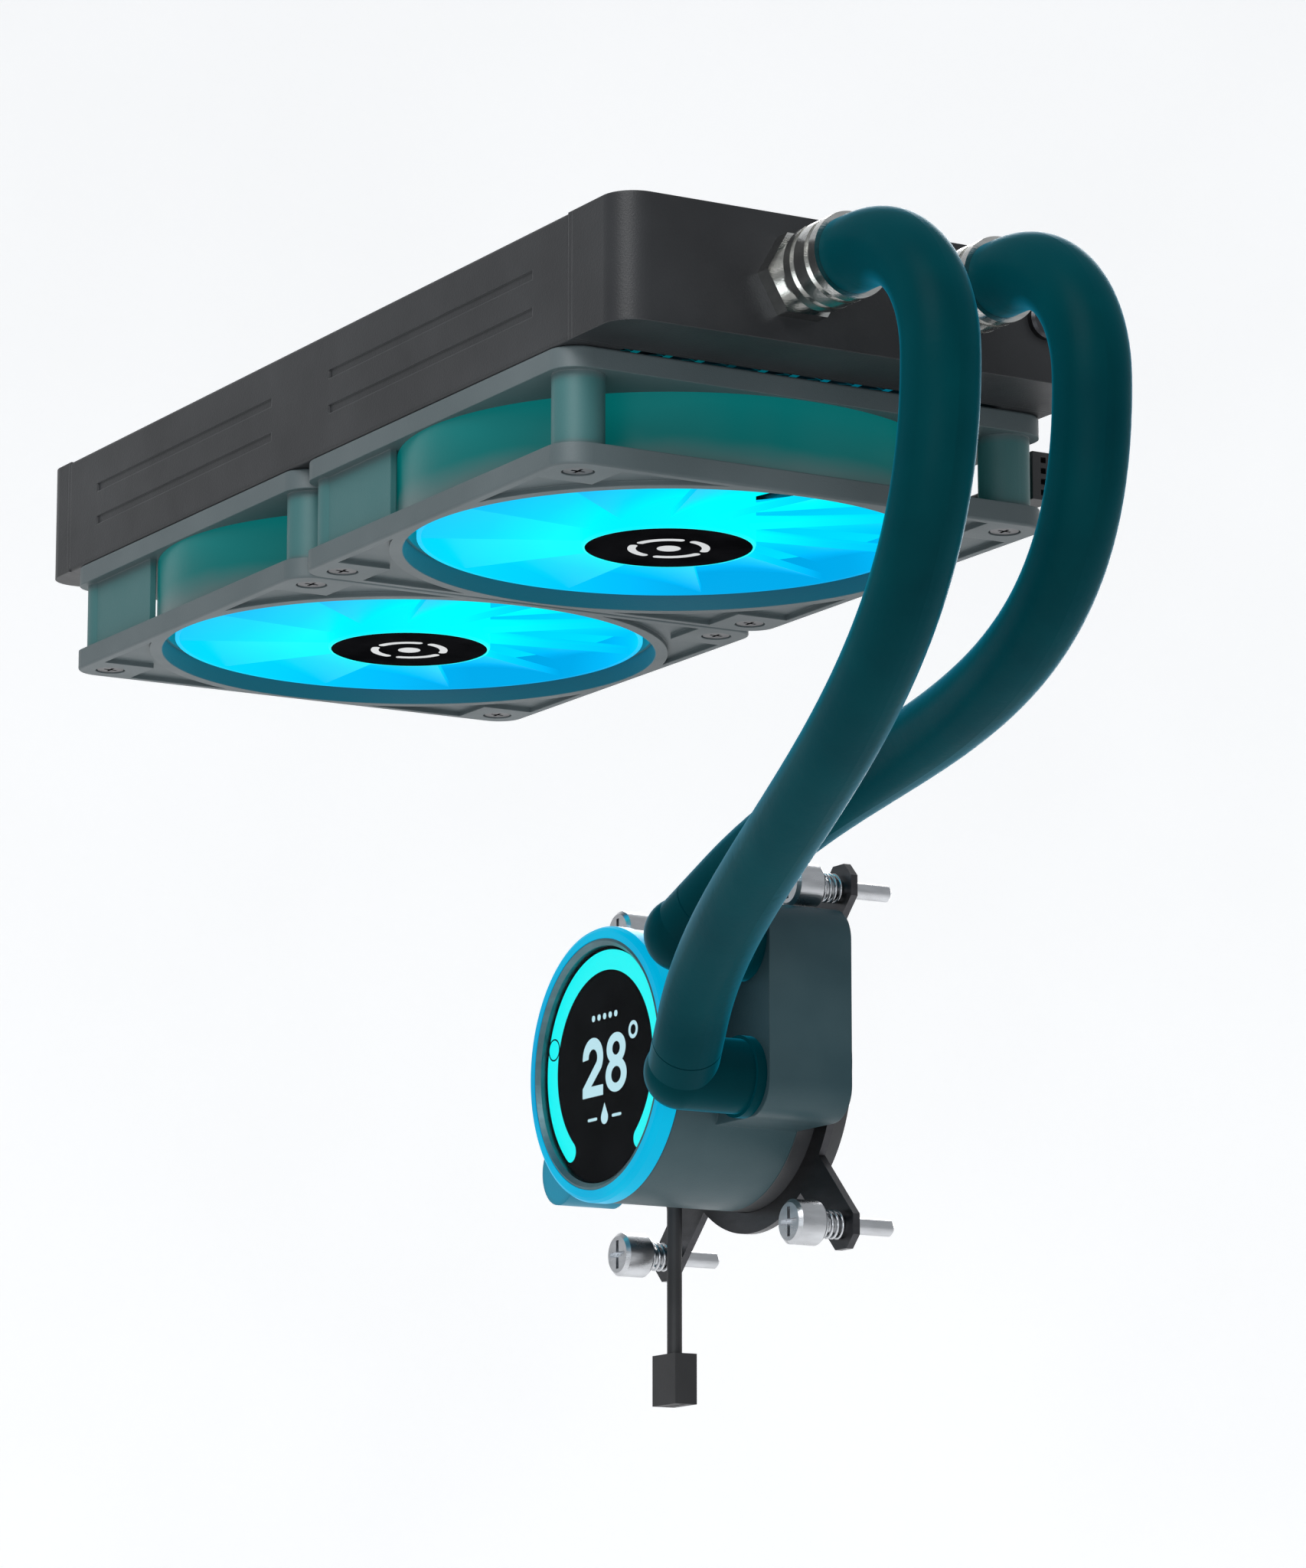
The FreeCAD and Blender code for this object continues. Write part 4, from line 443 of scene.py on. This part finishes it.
def dress_all():
    coat = powder_coat()
    black = gloss_black()
    steel = turned_metal("bright_steel", (0.6, 0.61, 0.63), 0.28)
    dark_steel = turned_metal("dark_steel", (0.07, 0.07, 0.075), 0.35)
    nickel = turned_metal("nickel", (0.62, 0.62, 0.6), 0.16)
    iron = moulded("ferrite", (0.035, 0.035, 0.037), (0.05, 0.05, 0.052), 0.6)
    bronze = turned_metal("bronze", (0.55, 0.36, 0.17), 0.42)
    laminations = turned_metal("laminations", (0.3, 0.31, 0.33), 0.4, 2200)
    wire = copper_wire()
    board = circuit_board()
    jacket = moulded("cable_jacket", (0.012, 0.012, 0.013), (0.022, 0.022, 0.024), 0.55)
    base = moulded("pump_black", (0.028, 0.029, 0.031), (0.04, 0.041, 0.044), 0.45)
    elbow = rubber_with_painted_cyan_light("elbow_plastic", 0.34)
    hose = rubber_with_painted_cyan_light("hose_rubber", 0.42)
    for fan in FANS:
        dress(fan + "_frame", fan_plastic(fan + "_plastic", *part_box(fan + "_frame")))
        dress(fan + "_light_ring", light_guide(fan + "_light_guide", *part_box(fan + "_light_ring")))
        dress(fan + "_rotor", lit_blade(fan + "_blades", middle(fan + "_hub_cover")))
        dress(fan + "_hub_cover", black)
        dress(fan + "_rotor_yoke", dark_steel)
        dress(fan + "_rotor_magnet", iron)
        dress(fan + "_shaft", steel)
        dress(fan + "_bearing", bronze)
        dress(fan + "_stator_core", laminations)
        dress(fan + "_coils", wire)
        dress(fan + "_motor_board", board)
        dress(fan + "_screws", dark_steel)
        dress(fan + "_cable", jacket)
    for node in ("side_rails", "port_tank", "return_tank", "header_plates"):
        dress(node, coat)
    dress("cooling_fins", thin_fins())
    dress("flat_tubes", flat_tube())
    dress("fill_plug", dark_steel)
    for node in ("port_fittings", "hose_ferrules"):
        dress(node, nickel)
    dress("cold_plate", machined_copper())
    for node in ("cold_plate_screws", "impeller_pin", "bracket_springs"):
        dress(node, steel)
    dress("cold_plate_seal", jacket)
    for node in ("pump_base", "rotor_can"):
        dress(node, base)
    dress("impeller", moulded("impeller_white", (0.55, 0.54, 0.5), (0.62, 0.61, 0.57), 0.4))
    dress("pump_stator", laminations)
    dress("pump_housing", pump_grey())
    dress("pump_board", board)
    dress("pump_cable", jacket)
    dress("light_bezel", bezel_glow())
    dress("display_trim", turned_metal("bevel_grey", (0.11, 0.2, 0.225), 0.34))
    dress("display_panel", black)
    dress("display_glass", glass())
    dress("retention_bracket", dark_steel)
    for node in NODES:
        if node.endswith("_mounting_screw"):
            dress(node, steel)
    for node in ("upper_elbow", "lower_elbow"):
        dress(node, elbow)
    for node in ("upper_hose", "lower_hose"):
        dress(node, hose)


# ---------------------------------------------------------------- flat marks


def piece(name, mesh, material, body):
    made = bpy.data.objects.new(name, mesh)
    SCENE.collection.objects.link(made)
    mesh.materials.append(material)
    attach(made, body)
    return made


def slab(name, loops, thickness, to_row):
    """A thin flat shape from closed loops of (x, y) in metres, placed by to_row; later loops are holes."""
    curve = bpy.data.curves.new(name, "CURVE")
    curve.dimensions = "2D"
    curve.fill_mode = "BOTH"
    curve.extrude = thickness / 2
    for loop in loops:
        spline = curve.splines.new("POLY")
        spline.points.add(len(loop) - 1)
        for point, (x, y) in zip(spline.points, loop):
            point.co = (x, y, 0, 1)
        spline.use_cyclic_u = True
    holder = bpy.data.objects.new(name + "_outline", curve)
    SCENE.collection.objects.link(holder)
    bpy.context.view_layer.update()
    mesh = bpy.data.meshes.new_from_object(holder)
    bpy.data.objects.remove(holder)
    mesh.transform(to_row)
    return mesh


def arc_points(radius, start, end, centre=(0, 0), steps=64):
    """Points on a circle, angles in degrees."""
    points = []
    for step in range(steps + 1):
        angle = math.radians(start + (end - start) * step / steps)
        points.append((centre[0] + radius * math.cos(angle), centre[1] + radius * math.sin(angle)))
    return points


def ring_loops(outer, inner, centre=(0, 0)):
    return [arc_points(outer, 0, 358, centre), arc_points(inner, 0, 358, centre)]


def rounded_arc(inner, outer, start, end):
    """A thick arc with round ends."""
    half = (outer - inner) / 2
    mid = (outer + inner) / 2
    loop = arc_points(outer, start, end, steps=120)
    for angle, first in ((end, end), (start, start + 180)):
        tip = (mid * math.cos(math.radians(angle)), mid * math.sin(math.radians(angle)))
        loop += arc_points(half, first, first + 180, tip, 16)
        if angle == end:
            loop += arc_points(inner, end, start, steps=120)
    return [loop]


def bar(x, y, length, thickness):
    """A short level bar with round ends."""
    half = length / 2
    radius = thickness / 2
    return arc_points(radius, -90, 90, (x + half, y), 12) + arc_points(radius, 90, 270, (x - half, y), 12)


def display_place(depth):
    """Turns display coordinates (right, up, out) into row coordinates, depth metres in front of the panel."""
    facing = Matrix(((0, 0, -1), (-1, 0, 0), (0, 1, 0))).to_4x4()
    return Matrix.Translation((PANEL_X - depth, PUMP_CENTRE.y, PUMP_CENTRE.z)) @ facing


def figure_eight(x, width, height, weight):
    """Outline and two holes of a condensed 8 whose lower left corner is at (x, 0)."""
    lobes = []
    for share, y in ((1.0, height * 0.29), (0.9, height * 0.735)):
        tall = height * 0.29 if share == 1.0 else height * 0.265
        lobes.append((width / 2 * share, tall, y))
    steps = 60
    side = []
    for step in range(steps + 1):
        y = height * 0.5 * (1 - math.cos(math.pi * step / steps))
        reach = [wide * math.sqrt(max(0.0, 1 - ((y - mid) / tall) ** 2)) for wide, tall, mid in lobes]
        side.append((max(reach), y))
    middle_x = x + width / 2
    outer = [(middle_x + half, y) for half, y in side] + [(middle_x - half, y) for half, y in side[-2:0:-1]]
    loops = [outer]
    for wide, tall, mid in lobes:
        across = wide - weight
        upward = tall - weight * 0.8
        turns = [2 * math.pi * step / 40 for step in range(40)]
        loops.append([(middle_x + across * math.cos(t), mid + upward * math.sin(t)) for t in turns])
    return loops


def figure_two(x, width, height, weight):
    """Outline of a condensed 2 whose lower left corner is at (x, 0)."""
    outer_r = width / 2
    inner_r = outer_r - weight
    centre = (x + outer_r, height - outer_r)
    outer = arc_points(outer_r, -36, 184, centre, 40)
    inner = arc_points(inner_r, 184, -30, centre, 40)
    foot = [(x, 0), (x + width, 0), (x + width, weight * 0.92), (x + weight * 1.45, weight * 0.92)]
    return [foot + outer + inner + [(x, weight * 0.85)]]


def droplet(width, height):
    """A drop outline with a pointed top."""
    radius = width / 2
    loop = arc_points(radius, 150, 390, steps=40)
    loop.append((0, height - radius))
    return [loop]


def display_marks():
    """Gauge with its marker, the number, and plain marks above and below it."""
    cyan = screen_light("screen_cyan", (0.0, 1.0, 1.0), 1.05)
    white = screen_light("screen_white", (0.55, 0.86, 0.95), 1.0)
    black = gloss_black()
    layer = 0.04 * MM
    place = display_place(layer)
    digit_height = 13.9 * MM
    low_row = 12.3 * MM
    high_row = 11.4 * MM
    marker_reach = 24.6 * MM

    def mark(name, loops, finish=cyan, where=place):
        piece("display_" + name, slab(name, loops, layer, where), finish, "cooler")

    mark("gauge", rounded_arc(22.2 * MM, 26.9 * MM, -50, 230))
    angle = math.radians(165)
    spot = (marker_reach * math.cos(angle), marker_reach * math.sin(angle))
    mark("marker", ring_loops(2.65 * MM, 2.3 * MM, spot), black, display_place(2.2 * layer))
    number_place = place @ Matrix.Translation((-10.2 * MM, -6.95 * MM, 0))
    mark("number_two", figure_two(0, 9.5 * MM, digit_height, 2.7 * MM), white, number_place)
    mark("number_eight", figure_eight(10.7 * MM, 9.7 * MM, digit_height, 2.6 * MM), white, number_place)
    mark("degree", ring_loops(2.1 * MM, 1.2 * MM, (13.2 * MM, 6.6 * MM)), white)
    mark("drop", [[(x, y - low_row) for x, y in droplet(3.2 * MM, 5.0 * MM)[0]]], white)
    bars = [bar(x * MM, -low_row, 3.6 * MM, 0.7 * MM) for x in (-5.6, 5.6)]
    mark("side_bars", bars, white)
    dots = [arc_points(0.75 * MM, 0, 345, (x * MM, high_row), 24) for x in (-5.2, -2.6, 0, 2.6, 5.2)]
    mark("dots", dots, white)


def hub_marks():
    """A plain broken ring on each hub, turning with its fan."""
    white = screen_light("hub_white", (0.85, 0.87, 0.88), 0.7)
    for fan, body in FANS.items():
        low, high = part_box(fan + "_hub_cover")
        centre = (low + high) / 2
        down = Matrix.Translation((centre.x, centre.y, low.z - 0.03 * MM)) @ Matrix.Rotation(math.pi, 4, "X")
        loops = [rounded_arc(7.2 * MM, 9.0 * MM, a + 12, a + 78)[0] for a in (0, 90, 180, 270)]
        loops.append(arc_points(2.6 * MM, 0, 355))
        mesh = slab(fan + "_mark", loops, 0.06 * MM, down)
        piece(fan + "_hub_mark", mesh, white, body)


# ---------------------------------------------------------------- springs


def springs(finish):
    """The bracket's four coil springs, one round each mounting screw."""
    low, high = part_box("bracket_springs")
    wire = 0.36 * MM
    coil = 3.1 * MM
    turns = 4
    steps = 24 * turns
    sides = 10
    run = high.x - low.x - 2 * wire
    for name in [node for node in NODES if node.endswith("_mounting_screw")]:
        centre = middle(name)
        mesh = bpy.data.meshes.new(name + "_spring")
        rings = []
        shape = bmesh.new()
        for step in range(steps + 1):
            angle = 2 * math.pi * turns * step / steps
            out = Vector((0, math.cos(angle), math.sin(angle)))
            spot = Vector((low.x + wire + run * step / steps, centre.y, centre.z)) + out * coil
            ring = []
            for side in range(sides):
                turn = 2 * math.pi * side / sides
                aside = out * math.cos(turn) + Vector((math.sin(turn), 0, 0))
                ring.append(shape.verts.new(spot + aside * wire))
            rings.append(ring)
        for this, following in zip(rings, rings[1:]):
            for side in range(sides):
                beside = (side + 1) % sides
                shape.faces.new((this[side], this[beside], following[beside], following[side]))
        shape.faces.new(rings[0][::-1])
        shape.faces.new(rings[-1])
        bmesh.ops.recalc_face_normals(shape, faces=shape.faces)
        shape.to_mesh(mesh)
        shape.free()
        for polygon in mesh.polygons:
            polygon.use_smooth = len(polygon.vertices) == 4
        made = piece(name.replace("_mounting_screw", "_spring"), mesh, finish, "cooler")
        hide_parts("bracket_springs")
        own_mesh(made)


# ---------------------------------------------------------------- stage, light and camera


def stage():
    """A pale floor that curves up into a pale wall."""
    low = CAD_BOX[0].z - FLOOR_DROP
    profile = [(-3.0, low)]
    bend = 0.8
    back = 2.6
    for step in range(13):
        angle = math.radians(90 * step / 12)
        profile.append((back - bend + bend * math.sin(angle), low + bend * (1 - math.cos(angle))))
    profile.append((back, low + 3.5))
    mesh = bpy.data.meshes.new("sweep")
    half = 4.0
    points = [(x, y, z) for y, z in profile for x in (-half, half)]
    faces = [(2 * i, 2 * i + 1, 2 * i + 3, 2 * i + 2) for i in range(len(profile) - 1)]
    mesh.from_pydata(points, [], faces)
    for polygon in mesh.polygons:
        polygon.use_smooth = True
    floor = bpy.data.objects.new("floor", mesh)
    SCENE.collection.objects.link(floor)
    look = Look("pale_floor", (0.88, 0.88, 0.88), 0.8, Specular_IOR_Level=0.1)
    look.tint((0.87, 0.87, 0.872), (0.9, 0.9, 0.902), 3)
    look.shader.inputs["Emission Color"].default_value = (1.0, 1.0, 1.0, 1.0)
    look.shader.inputs["Emission Strength"].default_value = 0.3
    mesh.materials.append(look.material)
    floor.rotation_euler.z = -math.radians(32)


def area_light(name, place, target, size, power, colour=(1, 1, 1)):
    light = bpy.data.lights.new(name, "AREA")
    light.shape = "RECTANGLE"
    light.size, light.size_y = size
    light.energy = power
    light.color = colour
    lamp = bpy.data.objects.new(name, light)
    SCENE.collection.objects.link(lamp)
    lamp.location = place
    lamp.rotation_euler = (Vector(target) - Vector(place)).to_track_quat("-Z", "Y").to_euler()


def studio_air():
    """Soft light from all round, with a paler tone where the camera sees past the backdrop."""
    world = bpy.data.worlds.new("studio")
    world.use_nodes = True
    nodes = world.node_tree.nodes
    links = world.node_tree.links
    soft = nodes["Background"]
    soft.inputs["Color"].default_value = (0.86, 0.89, 0.92, 1)
    soft.inputs["Strength"].default_value = 0.55
    pale = nodes.new("ShaderNodeBackground")
    pale.inputs["Color"].default_value = (0.87, 0.88, 0.89, 1)
    path = nodes.new("ShaderNodeLightPath")
    chosen = nodes.new("ShaderNodeMixShader")
    links.new(path.outputs["Is Camera Ray"], chosen.inputs["Fac"])
    links.new(soft.outputs["Background"], chosen.inputs[1])
    links.new(pale.outputs["Background"], chosen.inputs[2])
    links.new(chosen.outputs["Shader"], nodes["World Output"].inputs["Surface"])
    SCENE.world = world


def lights():
    centre = (CAD_BOX[0] + CAD_BOX[1]) / 2
    studio_air()
    area_light("key", centre + Vector((-0.9, -0.7, 0.9)), centre, (0.9, 0.9), 16)
    area_light("low_fill", centre + Vector((-0.7, -0.9, -0.25)), centre, (0.7, 0.4), 4, (0.9, 0.96, 1.0))
    area_light("rim", centre + Vector((0.8, 0.9, 0.5)), centre, (0.6, 0.9), 12)


def camera():
    """Stands where the photographer stood and turns to the object."""
    data = bpy.data.cameras.new("camera")
    eye = bpy.data.objects.new("camera", data)
    SCENE.collection.objects.link(eye)
    eye.location = EYE
    corners = []
    for node in NODES:
        low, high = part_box(node)
        level = [(x, y) for x in (low.x, high.x) for y in (low.y, high.y)]
        corners += [Vector((x, y, z)) for x, y in level for z in (low.z, high.z)]
    aim = sum(corners, Vector()) / len(corners)
    for _ in range(6):
        turn = (aim - eye.location).to_track_quat("-Z", "Y")
        seen = [turn.inverted() @ (corner - eye.location) for corner in corners]
        across = [p.x / -p.z for p in seen]
        up = [p.y / -p.z for p in seen]
        shift = Vector(((min(across) + max(across)) / 2, (min(up) + max(up)) / 2, -1))
        aim = eye.location + turn @ shift
    eye.rotation_euler = turn.to_euler()
    spread = max((max(across) - min(across)) * PICTURE_SHAPE, max(up) - min(up))
    data.lens = data.sensor_width / spread * FILLED_SHARE
    data.clip_start = 0.05
    data.clip_end = 30
    SCENE.camera = eye


dress_all()
springs(turned_metal("spring_wire", (0.58, 0.59, 0.61), 0.25))
display_marks()
hub_marks()
stage()
lights()
camera()
SCENE.view_settings.view_transform = "Standard"
